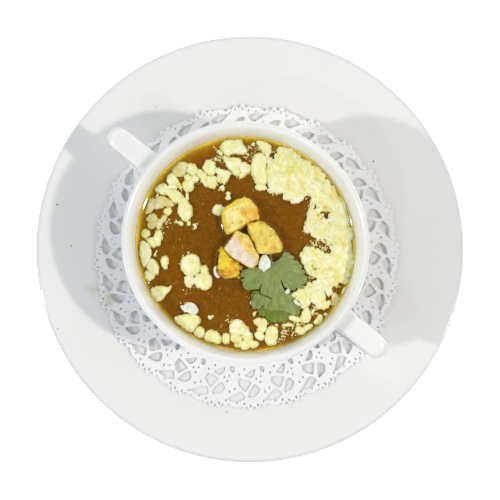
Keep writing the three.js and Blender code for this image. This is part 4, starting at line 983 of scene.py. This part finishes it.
DRIFT_GRAIN = 0.32
DRIFT_CRUMBS = 1300
FINE_CRUMBS = (0.5, 0.8, 1.2, 1.7)
COARSE_CRUMBS = (0.6, 1.2, 2.0, 3.0, 4.0)


def ball(heap, place, radius, turn, stretch, axis="Z", rounds=2):
    """Adds a ball to a heap, stretched along three ways and turned."""
    return bmesh.ops.create_icosphere(heap, subdivisions=rounds, radius=radius, matrix=Matrix.LocRotScale(
        Vector(place), Matrix.Rotation(turn, 3, axis).to_quaternion(), Vector(stretch)))["verts"]


def front_fineness(place):
    """How finely the heap is crumbled: most in the stretch below its middle."""
    return limited((21 - place.y) / 6) * limited((place.y + 6) / 6)


bank = bmesh.new()
shore_edges = []
for corners in (DRIFT_SHORE, *DRIFT_HOLES):
    shore_edges += outline_edges(bank, softened(at_height(corners, CURD_FOOT), 1))
bmesh.ops.triangle_fill(bank, use_beauty=True, edges=shore_edges)
drawn_up(bank, bank.faces[:], 2.0)
chance = random.Random(31)
left = min(x for x, y in DRIFT_SHORE)
right = max(x for x, y in DRIFT_SHORE)
low = min(y for x, y in DRIFT_SHORE)
high = max(y for x, y in DRIFT_SHORE)
for x, y, wide, deep in DRIFT_LUMPS:
    ball(bank, (x, y, 0.9), 1, 0, (wide / 2 + 0.5, deep / 2 + 0.5, 1.0 + 0.06 * (wide + deep)), rounds=3)
for _ in range(DRIFT_CRUMBS):
    spot = (chance.uniform(left, right), chance.uniform(low, high))
    if inside(DRIFT_SHORE, spot) and not any(inside(hole, spot) for hole in DRIFT_HOLES):
        size = chance.choice(FINE_CRUMBS if -4 < spot[1] < 20 else COARSE_CRUMBS)
        place = (*spot, chance.uniform(0.7, 1.4))
        ball(bank, place, size / 2 + 0.35, chance.uniform(0, 3), (1.25, 0.85, 0.62))
drift_soft = grown_together(bank, DRIFT_GRAIN, 2)
curdle(drift_soft, 4.2, 0.8, 0, front_fineness)
for vert in drift_soft.verts:
    flat_spot = vert.co.xy.to_3d()
    thin = max(1 - (vert.co.xy - Vector(middle)).length / reach for middle, reach in DRIFT_THIN)
    pitted = noise.noise(flat_spot * 0.75) * 0.7 + noise.noise(flat_spot * 1.9) * 0.4
    gap = max(0, pitted - 0.52 + 0.72 * thin) * 6
    wall = limited(((vert.co.xy + Vector((0.4, 0))).length - 46.5) / 4)
    vert.co.z -= min(gap, 2.2) + 0.55 * wall * max(vert.co.z, 0)
seam_mark = drift_soft.verts.layers.float["crease"]
for vert in drift_soft.verts:
    for start, end in DRIFT_SEAMS:
        gap = off_line(vert.co.xy, start, end) + noise.noise(vert.co * 0.8) * 0.8
        if gap < 1.3:
            vert[seam_mark] = max(vert[seam_mark], 1.3 - max(gap, 0.3))
laid("curd_drift_soft", drift_soft, curd_white, "curd", "curd_drift")

bit_heap = bmesh.new()
for corners in CURD_BITS:
    slab(bit_heap, corners, -0.5, 1.2)
bits_soft = grown_together(bit_heap, 0.25, 5)
curdle(bits_soft, 2.0, 0.5, 50)
laid("curd_bits", bits_soft, curd_white, "curd")


# Chicken: four chunks of breast cut by hand, simmered with turmeric. A cut face is pale and fibrous, the
# outside is stained yellow with brown spice caught in its wrinkles, and the foot stands in the soup.

# A chunk has the heights of its shoulder and its top, how deep its folds go, how its top slopes and which way
# the folds lie, its colours, the outlines of its foot and of its top face, and where spice lies on it.
CHICKEN_FOOT = -6.6
CHICKEN_GRAIN = 0.36
CHICKEN = {
    "chicken_back": {
        "shoulder": 4.6, "top": 8, "folds": 0.15, "slope": (0.03, -0.05), "lie": 0,
        "flesh": (0.84, 0.785, 0.31), "skin": (0.88, 0.72, 0.04), "paler": (246, 224, 92),
        "foot": [(-1.1, 22.8), (1.3, 22.1), (3.8, 19.8), (5.8, 16.4), (6.5, 12.9), (6.3, 11.4), (3.3, 10.7),
            (1.1, 9.9), (-1.4, 8), (-3.1, 6.7), (-5.6, 5.7), (-7.3, 5), (-9.1, 4), (-10, 5), (-11, 7.5),
            (-11.9, 10.9), (-12.1, 14.4), (-11, 16.9), (-8.8, 18.9), (-6.1, 20.6), (-3.6, 21.9)],
        "face": [(-8.1, 16.9), (-5.1, 18.2), (-2.1, 19.2), (0.3, 19.6), (2.6, 19.4), (4.1, 17.7), (5.3, 15.2),
            (5.9, 12), (3.3, 11.2), (0.8, 10.2), (-1.6, 8.8), (-4.1, 6.8), (-6.6, 5.8), (-8.6, 5), (-9.6, 7.8),
            (-10, 12.2), (-9.8, 15.2)],
        "spice": [(-1.0, 14.4, 3.2), (2.2, 16.2, 2.8), (4.6, 14.0, 3.2), (1.4, 11.9, 2.6), (-8.6, 7.3, 1.3),
            (-2.6, 10.2, 1.3), (-6.6, 9.6, 0.8), (-4.4, 16.2, 0.8)],
    },
    "chicken_side": {
        "shoulder": 4.4, "top": 6.6, "folds": 0.45, "slope": (-0.08, 0.02), "lie": 60,
        "flesh": (0.77, 0.64, 0.095), "skin": (0.76, 0.62, 0.055), "paler": (246, 230, 150),
        "foot": [(0.3, 10.2), (2.8, 10.4), (5.8, 11.2), (8.8, 10.4), (11.7, 8.1), (13.7, 6), (15.9, 2.8),
            (17.9, -0.4), (17.5, -2.4), (17.2, -4.7), (14.7, -4.7), (11.7, -5.3), (8.3, -5.5), (5.8, -4.9),
            (4.8, -2.4), (4.1, 0), (2.8, 2), (1.2, 4.5), (0.8, 7)],
        "face": [(1.1, 9), (3.3, 9.4), (5.8, 9.3), (8.3, 8.3), (10.7, 6.5), (12.7, 4.5), (14.7, 2.1),
            (16.9, -0.9), (16.7, -2.6), (16.3, -4.1), (14.5, -4.1), (11.7, -4.6), (8.3, -4.9), (6.5, -4.4),
            (5.5, -2.1), (4.7, 0.3), (3.6, 2.3), (2, 4.8), (1.5, 6.8)],
        "spice": [(7.2, 5.2, 0.5), (9.6, -0.6, 1.1), (14.2, -2.6, 1.3), (3.2, 8.6, 0.8), (12.2, 3.4, 0.6)],
    },
    "chicken_cut": {
        "shoulder": 5.2, "top": 6.9, "folds": 0.15, "slope": (0.02, 0.06), "lie": 0,
        "flesh": (0.77, 0.72, 0.63), "skin": (0.8, 0.62, 0.11), "paler": (240, 224, 136),
        "foot": [(-5.6, 6), (-4.1, 6.3), (-2.6, 5), (0.3, 4), (1.8, 2.5), (3.1, 0), (3.8, -2.4), (5.3, -4.4),
            (6.3, -6.1), (6, -8.6), (5.3, -10.6), (3.3, -12.6), (1.8, -12.7), (-0.1, -11.5), (-2.6, -9.7),
            (-5.6, -8), (-8.3, -6), (-10.5, -4.1), (-11, -2.9), (-10, -0.9), (-8.1, 1.5), (-6.6, 4)],
        "face": [(-5.8, 4.9), (-4.7, 2.9), (-3.7, 0.3), (-1.8, -2.1), (0.2, -4.3), (2.4, -5.9), (4.2, -7.3),
            (4.8, -8.9), (4.3, -10.8), (3.1, -12.2), (1.8, -12.3), (-0.1, -11.2), (-2.6, -9.4), (-5.6, -7.7),
            (-8.3, -5.7), (-10.2, -3.9), (-10.4, -3), (-9.6, -1.4), (-7.7, 1.1), (-6.3, 3.3)],
        "spice": [(-2.1, 3.1, 1), (1.8, -1.6, 1)],
    },
    "chicken_front": {
        "shoulder": 3, "top": 5.2, "folds": 1.25, "slope": (-0.05, 0.05), "lie": 125,
        "flesh": (0.76, 0.64, 0.003), "skin": (0.58, 0.44, 0.003), "paler": (240, 208, 40),
        "foot": [(-12, -1.7), (-10.8, -2.9), (-8.1, -6.3), (-5.1, -8.6), (-2.6, -10.3), (-2.1, -11.6),
            (-2.6, -13.1), (-3.4, -14.8), (-3.1, -16), (-2.1, -17.3), (-4.1, -18), (-7.1, -18), (-11, -17),
            (-13, -15.5), (-14.5, -12.6), (-14.9, -9.4), (-13.9, -5.9), (-13.3, -2.9)],
        "face": [(-12, -3.6), (-10.5, -5.1), (-8.1, -7.6), (-5.6, -9.6), (-3.4, -11.3), (-3.6, -13),
            (-4.4, -15), (-4.1, -16.7), (-7.1, -17.1), (-10.3, -16.1), (-12, -14.8), (-13.3, -12.3),
            (-13.5, -9.6), (-12.9, -6.3)],
        "spice": [(-7.1, -9.6, 1.9), (-5.1, -13.5, 2.4), (-7.6, -14.5, 2.4), (-12, -15.5, 2.2),
            (-10, -12.5, 1)],
    },
}


def dimmed(colour):
    """A colour as it is in a darker and warmer spot."""
    return (colour[0] * 0.93, colour[1] * 0.82, colour[2] * 0.7, 1)


def cooked_meat(name, flesh, skin, paler):
    """Cooked breast: pale fibrous flesh where it is cut, turmeric-stained outside, orange where spice lies, with
    fine white dots painted all over as the glints off drops of fat."""
    made, tree, shader = material(
        name, Roughness=0.4, Specular_IOR_Level=0.45, Subsurface_Weight=0.3,
        Subsurface_Radius=(1.0, 0.55, 0.3), Subsurface_Scale=0.001, Coat_Weight=0.28, Coat_Roughness=0.12)
    place = node(tree, "TexCoord").outputs["Object"]
    spice = painted(tree, "spice")
    blotch = cloudy(tree, place, 300.0, 4.0, Roughness=0.6)
    pale = ramp(tree, blotch, (0.35, dimmed(flesh)), (0.65, (*[min(v * 1.1, 0.95) for v in flesh], 1)))
    stained = ramp(tree, blotch, (0.34, dimmed(skin)), (0.5, (*skin, 1)), (0.68, rgb(*paler)))
    body = mixed(tree, painted(tree, "cut"), stained, pale)
    hollow = sums(tree, "MULTIPLY", painted(tree, "crease"), 0.8)
    body = mixed(tree, hollow, body, (0.9, 0.6, 0.25, 1), "MULTIPLY")
    grains = cloudy(tree, place, 900.0, 4.0, Roughness=0.7)
    caught = sums(tree, "SUBTRACT", sums(tree, "MULTIPLY_ADD", spice, 0.44, grains), 0.59)
    rust = ramp(tree, sums(tree, "MULTIPLY", caught, 3.6), (0.0, (0, 0, 0, 1)), (1.0, (1, 1, 1, 1)))
    body = mixed(tree, rust, body, (0.96, 0.58, 0.02, 1), "MULTIPLY")
    body = mixed(tree, sums(tree, "MULTIPLY", spice, 0.4), body, (1.0, 0.93, 0.4, 1), "MULTIPLY")
    # Painted highlight: tiny near-white dots stand in for the glints off drops of fat.
    away, odds = strewn(tree, place, 1250.0)
    chosen = sums(tree, "GREATER_THAN", odds, 0.62)
    painted_glint = sums(tree, "MULTIPLY", sums(tree, "LESS_THAN", away, 0.28), chosen)
    painted_glint_share = sums(tree, "MULTIPLY", painted_glint, sums(tree, "MULTIPLY_ADD", spice, -0.6, 0.5))
    body = mixed(tree, painted_glint_share, body, rgb(255, 246, 222))
    along_fibre = node(tree, "Mapping", Vector=place, Scale=(1, 3, 1)).outputs["Vector"]
    relief = surfaced(tree, shader, body, 0.65, 0.0004, cloudy(tree, along_fibre, 700.0, 4.0))
    plug(tree, shader.inputs["Coat Normal"], relief)
    return made


for number, (name, chunk) in enumerate(CHICKEN.items()):
    heap = bmesh.new()
    slope = chunk["slope"]
    loops = []
    for outline, height in (("foot", CHICKEN_FOOT), ("foot", chunk["shoulder"]), ("face", chunk["top"])):
        lean = 1 if outline == "face" else 0
        loops.append(outline_edges(heap, [
            p + Vector((0, 0, height + lean * (slope[0] * p.x + slope[1] * p.y)))
            for p in at_height(chunk[outline])]))
    for lower, upper in zip(loops, loops[1:]):
        bmesh.ops.bridge_loops(heap, edges=lower + upper)
    for loop in (loops[0], loops[-1]):
        bmesh.ops.contextual_create(heap, geom=loop)
    soft = grown_together(heap, CHICKEN_GRAIN, 4)
    crease = soft.verts.layers.float.new("crease")
    cut = soft.verts.layers.float.new("cut")
    spice = soft.verts.layers.float.new("spice")
    soft.normal_update()
    for vert in soft.verts:
        place = vert.co + Vector((number * 31, 7, 0))
        rough = noise.noise(place * 0.35) * 0.5 + noise.noise(place * 0.9) * 0.28
        rough += noise.noise(place * 2.6) * 0.1
        lain = Matrix.Rotation(math.radians(chunk["lie"]), 3, "Z") @ place
        fold = 0.35 - abs(noise.noise(Vector((lain.x + lain.y * 0.6, lain.y * 0.45, lain.z * 0.5)) * 0.36)) * 2
        fold *= chunk["folds"]
        near, far = noise.voronoi((place + noise.noise_vector(place * 0.6) * 0.8) / 3.4)[0][:2]
        spot = Vector(vert.co.xy)
        level = (vert.co.z - chunk["shoulder"]) / (chunk["top"] - chunk["shoulder"])
        vert[cut] = limited(edge_distance(chunk["face"], spot) / 0.7 + 0.5) * limited(level * 1.5)
        vert[crease] = max(0, 1 - (far - near) / 0.12) * (1 - vert[cut])
        grain = noise.noise(Vector((place.x * 2.6, place.y * 1.3, place.z))) * vert[cut]
        vert[crease] = max(vert[crease] * 0.5, limited(-fold * 1.2))
        vert.co += vert.normal * (rough * 0.8 + min(fold, 0.4) - vert[crease] * 0.16 + grain * 0.2)
        vert[spice] = max(max(0, 1 - (spot - Vector((x, y))).length / (r * 1.5)) for x, y, r in chunk["spice"])
    finish = cooked_meat(name, chunk["flesh"], chunk["skin"], chunk["paler"])
    laid(name + "_cooked", soft, finish, "chicken", name)

# The soup climbs a little way up the foot of each chunk, as (how far out, how high).
WET_EDGE = [(1.6, -0.03), (1.2, 0.03), (1.1, 0.074), (0.55, 0.318), (0.45, 0.37), (0.2, 0.6), (0, 1.0)]
wet_edge = bmesh.new()
for chunk in CHICKEN.values():
    outline = softened(at_height(chunk["foot"]))
    middle = sum(outline, Vector()) / len(outline)
    loops = [
        outline_edges(wet_edge, [p + (p - middle).normalized() * out + Vector((0, 0, up)) for p in outline])
        for out, up in WET_EDGE]
    for low, high in zip(loops, loops[1:]):
        bmesh.ops.bridge_loops(wet_edge, edges=low + high)
bmesh.ops.recalc_face_normals(wet_edge, faces=wet_edge.faces)
laid("broth_at_chicken", wet_edge, broth, "soup")


# Leaf: a coriander leaf laid flat beside the chicken, with a smaller and brighter one under it. The blade
# is thin and toothed, ribbed from its foot, and its stalk is tucked under the chicken.
LEAF_FOOT = (12.6, -10.6)
UNDER_FOOT = (12.0, -21.0)
LEAF = [(12.7, -9.8), (14.2, -9.5), (16.2, -8.5), (17.7, -6.8), (18.7, -4.8), (18.9, -3.8), (19.7, -4.7),
    (20.4, -4.6), (21.4, -4.8), (21.6, -5.7), (22.6, -6.1), (23.9, -6.8), (23.8, -7.4), (22.8, -8.4),
    (24.1, -8.2), (25.3, -8.4), (25.7, -9.4), (26.6, -9.6), (26.7, -10.6), (27.6, -11), (27.1, -12.2),
    (27.3, -13), (28.6, -13.1), (29.3, -13.4), (29.1, -14.7), (27.8, -15.7), (29.1, -15.8), (30, -16.8),
    (29.9, -17.8), (30.2, -18.9), (29.1, -19.8), (28.1, -20.3), (27.1, -20.5), (28.3, -21.1), (27.8, -22.3),
    (26.6, -21.9), (25.6, -22.9), (24.6, -21.8), (24.1, -23), (23.4, -23.6), (22.9, -22.7), (21.9, -23.6),
    (20.9, -23), (20.1, -21.9), (19.4, -22.1), (18.7, -21.4), (18.2, -20.2), (17.5, -18.4), (16.8, -17.2),
    (17.1, -18.7), (17.8, -21.1), (18.7, -22.9), (19.7, -24), (20.6, -24.9), (22.1, -24.1), (23.4, -24.5),
    (24.4, -24.9), (24.1, -25.8), (25.6, -26.1), (26.1, -26.7), (25.3, -27.4), (26.6, -27.6), (26.5, -28.4),
    (25.3, -28.6), (26.1, -30.1), (27, -30.8), (27.5, -31.5), (27.2, -32.4), (26.1, -32.5), (26.6, -33.5),
    (26.6, -34.3), (25.7, -34.5), (25.7, -35.5), (25.1, -35.9), (24.1, -35.2), (23.1, -35.9), (22.3, -34.8),
    (21.4, -34.9), (20.6, -33.9), (19.9, -34.5), (18.9, -33.5), (17.7, -33.4), (16.2, -33), (15.2, -33.3),
    (14, -33), (12.7, -33.5), (11.5, -32.9), (10.2, -33), (9.3, -32.4), (8.5, -31.8), (8.2, -29.8),
    (7.8, -30.8), (6.8, -32), (5.5, -32.5), (4.8, -31.9), (4.1, -32.5), (3.3, -32.3), (2.7, -31), (2.4, -29.6),
    (2.5, -28.2), (3.1, -27.1), (3.7, -25.8), (4.8, -24.9), (5.9, -24.3), (6.4, -25.3), (8.8, -26.2),
    (11.2, -27.1), (12.2, -27.7), (12.5, -27.1), (11.2, -26.2), (9, -25.6), (7.3, -24.9), (6.9, -23.4),
    (7.1, -21.9), (7.8, -20.4), (7.3, -20.1), (6.7, -21.9), (6, -23), (4.8, -22.5), (3.8, -23.3), (3.2, -22.5),
    (2.6, -23.3), (1.6, -22.6), (1.1, -23.8), (0.3, -22.7), (-0.4, -23.1), (-0.9, -21.9), (-1.6, -21.9),
    (-1.5, -20.6), (-2.2, -20.2), (-1.6, -19.2), (-2.5, -18.7), (-2.4, -17.8), (-1.1, -17.3), (-0.6, -16.8),
    (-2.1, -16.8), (-3, -16.1), (-3.1, -15), (-2.3, -14.5), (-2.4, -13.5), (-1.1, -13), (-0.1, -12.6),
    (1.8, -12.4), (3.3, -12), (4.8, -11.5), (6.3, -11), (8.3, -11.5), (10.2, -11), (11.7, -10.2)]
LEAF_UNDER = [(7.8, -24), (4.8, -23.1), (3.2, -23.9), (3, -24.7), (2.1, -25.4), (2.7, -26.1), (2, -26.9),
    (3.3, -27.7), (4.3, -28.9), (5.8, -30.4), (5.8, -32.4), (5.2, -33.6), (6.3, -34.4), (5.8, -35.8),
    (7.3, -35.4), (8, -36.3), (9.3, -35.8), (9.8, -37.1), (10.4, -37), (10.6, -38.3), (11.5, -38), (12, -39.2),
    (13.2, -38.6), (14.2, -39.5), (15.2, -38.7), (16.4, -39), (17.2, -38.5), (18.4, -39.2), (19.9, -38.8),
    (20.1, -37.8), (21.1, -37.7), (21, -36.8), (22, -36.6), (21.1, -35.3), (21.6, -34.4), (20.6, -31.9),
    (18.7, -27.9), (14.7, -25), (10.7, -24)]


def blade(outline, height, foot, droop, grain):
    """A thin leaf of an outline, waved and ribbed, lying at a height over the soup."""
    heap = bmesh.new()
    bmesh.ops.triangle_fill(heap, use_beauty=True, edges=outline_edges(heap, at_height(outline)))
    drawn_up(heap, heap.faces[:], 0.5)
    soft = grown_together(heap, grain, 1)
    for vert in soft.verts:
        out = vert.co.xy - Vector(foot)
        angle = math.atan2(out.y, out.x)
        ribs = abs(((angle * 9) % math.tau) / math.tau - 0.5)
        wave = noise.noise(Vector((vert.co.x, vert.co.y, 3)) * 0.13) * 1.1 + noise.noise(vert.co * 0.34) * 0.35
        rib = 0.22 * min(ribs * 4, 1) * min(out.length / 6, 1)
        vert.co.z += height + wave + rib - droop * out.length_squared
    return soft


def leaf_finish(name, dark, light, foot):
    """Green leaf: streaked from its foot, paler on the ribs, with a soft waxy shine."""
    made, tree, shader = material(
        name, Roughness=0.45, Specular_IOR_Level=0.4, Subsurface_Weight=0.15,
        Subsurface_Radius=(0.4, 1.0, 0.2), Subsurface_Scale=0.0006)
    place = node(tree, "TexCoord").outputs["Object"]
    about = vector_sums(tree, "SUBTRACT", place, GARNISH_PLACE @ Vector((*foot, 2)))
    apart = node(tree, "SeparateXYZ", Vector=about)
    angle = sums(tree, "ARCTAN2", apart.outputs["Y"], apart.outputs["X"])
    polar = node(tree, "CombineXYZ", X=sums(tree, "MULTIPLY", angle, 22.0),
                 Y=sums(tree, "MULTIPLY", vector_sums(tree, "LENGTH", about), 130.0)).outputs["Vector"]
    streak = cloudy(tree, polar, 1.0, 3.0, Roughness=0.6)
    green = ramp(tree, streak, (0.32, dark), (0.66, light))
    cloud = cloudy(tree, place, 300.0, 4.0)
    shade = ramp(tree, cloud, (0.3, (0.75, 0.78, 0.7, 1)), (0.7, (1.2, 1.16, 1.2, 1)))
    toned = mixed(tree, 0.5, green, shade, "MULTIPLY")
    surfaced(tree, shader, toned, 0.45, 0.0003, sums(tree, "ADD", sums(tree, "MULTIPLY", streak, 0.8), cloud))
    return made


def stalk(heap, route, thick):
    """Adds a thin round stalk along a route to a heap."""
    steps = 16
    for place in geometry.interpolate_bezier(*[Vector(p) for p in route], steps + 1):
        ball(heap, place, thick / 2, 0, (1, 1, 1))


leaf_soft = blade(LEAF, 1.6, LEAF_FOOT, 0.0015, 0.17)
stalk_heap = bmesh.new()
stalk(stalk_heap, [(12.8, -10.4, 2.1), (12.4, -8.6, 2.2), (12.0, -7.4, 1.8), (11.8, -5.2, 1.2)], 1.1)
stalk(stalk_heap, [(12.8, -9.8, 1.9), (15.8, -9.4, 1.9), (17.6, -7.4, 1.9), (18.8, -4.4, 1.9)], 0.9)
stalk_soft = grown_together(stalk_heap, 0.2, 3)
add_to(leaf_soft, stalk_soft)
stalk_soft.free()
leaf_green = leaf_finish("leaf_green", rgb(104, 124, 54), rgb(148, 163, 94), LEAF_FOOT)
laid("leaf_blade", leaf_soft, leaf_green, "leaf", "leaf")
under_soft = blade(LEAF_UNDER, 0.15, UNDER_FOOT, 0.0005, 0.19)
leaf_young = leaf_finish("leaf_young", rgb(86, 112, 14), rgb(122, 140, 32), UNDER_FOOT)
laid("leaf_under_blade", under_soft, leaf_young, "leaf_young", "leaf_under")


# Chips: petals of white onion, wet and a little glassy. One lies over the foot of the leaf, one by the front
# chunk of chicken and one on the curd at lower left, and splinters of it lie on the leaf.

# A chip or splinter is its lower and upper height and its outline.
CHIPS = {
    "chip_1": (2.3, 4, [(7.8, -6), (9.8, -5.6), (11, -7), (12, -9), (12.2, -10.9), (11.5, -12.4),
        (10.2, -12.9), (9.3, -13.7), (8.5, -14.8), (8, -13.4), (6.8, -13.2), (5.8, -11.4), (6, -9.7),
        (6.9, -7.5)]),
    "chip_2": (-0.4, 2.2, [(-16.3, -13.6), (-16.1, -12.1), (-15, -12.3), (-14.7, -13.9), (-13.8, -15.3),
        (-12.8, -16.6), (-13.8, -17.5), (-14.8, -16.8), (-15.8, -15.8)]),
    "chip_3": (-0.4, 2.6, [(-32.8, -30.5), (-31.1, -30.7), (-29.9, -30), (-28.4, -29), (-26.9, -29.1),
        (-25.4, -29.9), (-24.2, -31.2), (-23.4, -32.9), (-23.9, -34.4), (-24.9, -35.1), (-27.4, -34.9),
        (-28.9, -33.9), (-30.3, -34.1), (-31.6, -32.7)]),
}
ONION_BITS = [
    (1.9, 3.1, [(18.9, -23.9), (19.7, -23.1), (20.6, -22.1), (21.1, -22.4), (21.5, -23.6), (21.3, -24.6),
        (20.1, -25.2), (19.2, -24.8)]),
    (1.6, 3, [(23, -28.1), (24.1, -27.7), (25.1, -28.6), (26.3, -29.8), (27.1, -30.8), (26.1, -30.9),
        (24.6, -30.3), (23.4, -29.3)]),
    (-0.2, 1.2, [(1.7, -30.1), (2, -28.6), (2.6, -27.9), (2.8, -29.1), (2.3, -30.4)]),
]

onion, onion_tree, onion_shader = material(
    "onion", Roughness=0.2, Specular_IOR_Level=0.5, Subsurface_Weight=0.5, Subsurface_Radius=(1.0, 1.0, 0.8),
    Subsurface_Scale=0.0015, Coat_Weight=0.4, Coat_Roughness=0.08)
onion_place = node(onion_tree, "TexCoord").outputs["Object"]
layer_lines = cloudy(onion_tree, onion_place, 420.0, 4.0, Distortion=0.8)
onion_tone = ramp(onion_tree, layer_lines, (0.3, rgb(216, 217, 200)), (0.7, rgb(238, 240, 232)))
surfaced(onion_tree, onion_shader, onion_tone, 0.4, 0.0002, layer_lines)

for name, (base, high, corners) in CHIPS.items():
    heap = bmesh.new()
    slab(heap, corners, base, high)
    soft = grown_together(heap, 0.2, 10)
    for vert in soft.verts:
        vert.co += Vector((0, 0, noise.noise(vert.co * 0.5) * 0.5))
    laid(name + "_petal", soft, onion, "onion", name)
heap = bmesh.new()
for base, high, corners in ONION_BITS:
    slab(heap, corners, base, high)
laid("onion_splinters", grown_together(heap, 0.18, 6), onion, "onion")


# Crumbs: the finest curd. They fringe the larger pieces, gather in the gaps of the drift and lie loose
# all over the soup, each a tiny lump half sunk in it.

# A zone is its middle, its width and depth, and how many crumbs lie there.
CRUMB_ZONES = [
    (0.3, 47.4, 2, 3, 26), (1.8, 43.4, 3, 2.5, 26), (-14, 43.9, 3, 4, 40), (-12, 41.4, 2, 2.5, 14),
    (-20.4, 34.5, 2.5, 3, 18), (14.2, 45.4, 2, 2.5, 22), (5.3, 46.4, 2, 3, 22), (-12, 30, 2.5, 3.5, 14),
    (-40.2, 10.7, 2.5, 3, 20), (-35.8, 10.7, 2.5, 1.5, 8), (-43.7, 5.8, 2.5, 3.5, 12), (32, 18.7, 2, 4.5, 30),
    (29.1, 5.8, 2, 1.5, 15), (34.5, 0.8, 2.5, 2, 30), (37.5, -2.1, 4.5, 2, 60), (31, -1.6, 2, 1.5, 14),
    (28.1, -9.1, 1, 2.5, 10), (31, -16.5, 2.5, 2, 26), (33, -31.8, 2.5, 2, 20), (18.7, -44.7, 3, 4.5, 48),
    (17.2, -48.2, 3, 2, 16), (23.1, -46.2, 3, 2, 24), (25.1, -39.8, 4, 1.5, 26), (21.6, -40.2, 3.5, 1.5, 16),
    (-1.6, 33.5, 4, 1.5, 14), (4.8, 28.1, 1.5, 2.5, 10), (14.7, 25.1, 4, 1, 18), (30.5, 22.1, 3, 2, 14),
    (-30.8, -6.1, 1.5, 2, 8), (-27.9, -4.6, 2, 1, 8), (-32.3, -11.5, 1, 2, 6), (-7.6, -37.8, 3, 1.5, 9),
    (-12, -40.7, 1.5, 3, 6), (-29.9, -29.4, 2.5, 1, 8), (-31.3, 28.1, 5.9, 4, 16), (-25.4, 9.3, 2.5, 2.5, 6),
    (-27.9, -22.4, 4, 2, 8), (10.7, -38.8, 2.5, 2, 10), (43.9, -20.9, 2, 2, 10), (34, -35.3, 2, 2.5, 14),
    (-47.7, -7.1, 2.5, 4.5, 14), (-22.9, 31.5, 4, 3.5, 12),
]

CRUMB_SIZES = (0.35, 0.45, 0.6, 0.8, 1.1)
CRUMB_REACH = 52
LOOSE_SIZES = (0.2, 0.25, 0.3, 0.42)
LOOSE_REACH = 51
LOOSE_COUNT = 420


def crumb(heap, spot, size, chance):
    """Adds one crumb to a heap, a knocked-about ball half sunk at a place on the soup."""
    ball(heap, (*spot, size * 0.12), size / 2, chance.uniform(0, 3),
         (chance.uniform(0.9, 1.7), chance.uniform(0.7, 1.1), 0.8), axis=(0.3, 0.5, 1), rounds=1)


chance = random.Random(72)
crumb_heap = bmesh.new()
solid_ground = [corners for lumps in CURDS for corners in lumps]
solid_ground += [chunk["foot"] for chunk in CHICKEN.values()] + [LEAF]
for x, y, wide, deep, count in CRUMB_ZONES:
    for _ in range(count):
        spot = (chance.gauss(x, wide * 0.6), chance.gauss(y, deep * 0.6))
        if math.hypot(spot[0] + 0.4, spot[1]) < CRUMB_REACH:
            crumb(crumb_heap, spot, chance.choice(CRUMB_SIZES), chance)
for _ in range(LOOSE_COUNT):
    reach, angle = LOOSE_REACH * math.sqrt(chance.random()), chance.uniform(0, math.tau)
    spot = (reach * math.cos(angle), reach * math.sin(angle))
    if not any(inside(corners, spot) for corners in solid_ground):
        crumb(crumb_heap, spot, chance.choice(LOOSE_SIZES), chance)
laid("curd_crumbs", crumb_heap, curd_white, "curd")


# Specks: flakes of dried herb and of pepper that were spilled on the plate. They are thin, rough and curled,
# and stuck to the glaze where they fell.

# A flake is its place on the plate, its width, and how dark it is, from herb to pepper.
SPECKS = [
    (-94.7, 0.8, 1.1, 0.15), (-102.1, 22.5, 0.9, 0.9), (-100.9, -43.3, 1.0, 0.0), (-50.3, 75.4, 0.6, 0.6),
    (66.1, 46.3, 0.8, 1.0), (-12.2, -87.0, 0.8, 0.9),
]
speck_heap = bmesh.new()
darkness = speck_heap.verts.layers.float.new("dark")
for x, y, size, dark in SPECKS:
    place = (x, y, plate_height(math.hypot(x, y)))
    for vert in ball(speck_heap, place, size / 2, chance.uniform(0, 3), (1.2, 0.8, 0.4)):
        vert.co += noise.noise_vector(vert.co * 2.3) * 0.15
        vert[darkness] = dark
bmesh.ops.transform(speck_heap, matrix=VIEW_TURN @ Matrix.Scale(MM, 4), verts=speck_heap.verts)
dried, dried_tree, dried_shader = material("dried_herb", Roughness=0.8)
flecked = cloudy(dried_tree, node(dried_tree, "TexCoord").outputs["Object"], 2500.0, 2.0)
herb_tone = ramp(dried_tree, flecked, (0.35, rgb(166, 160, 62)), (0.65, rgb(206, 196, 92)))
flake_tone = mixed(dried_tree, painted(dried_tree, "dark"), herb_tone, rgb(48, 42, 38))
plug(dried_tree, dried_shader.inputs["Base Color"], flake_tone)
specks = made_object("spilled_specks", speck_heap, dried)
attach(specks, "root")
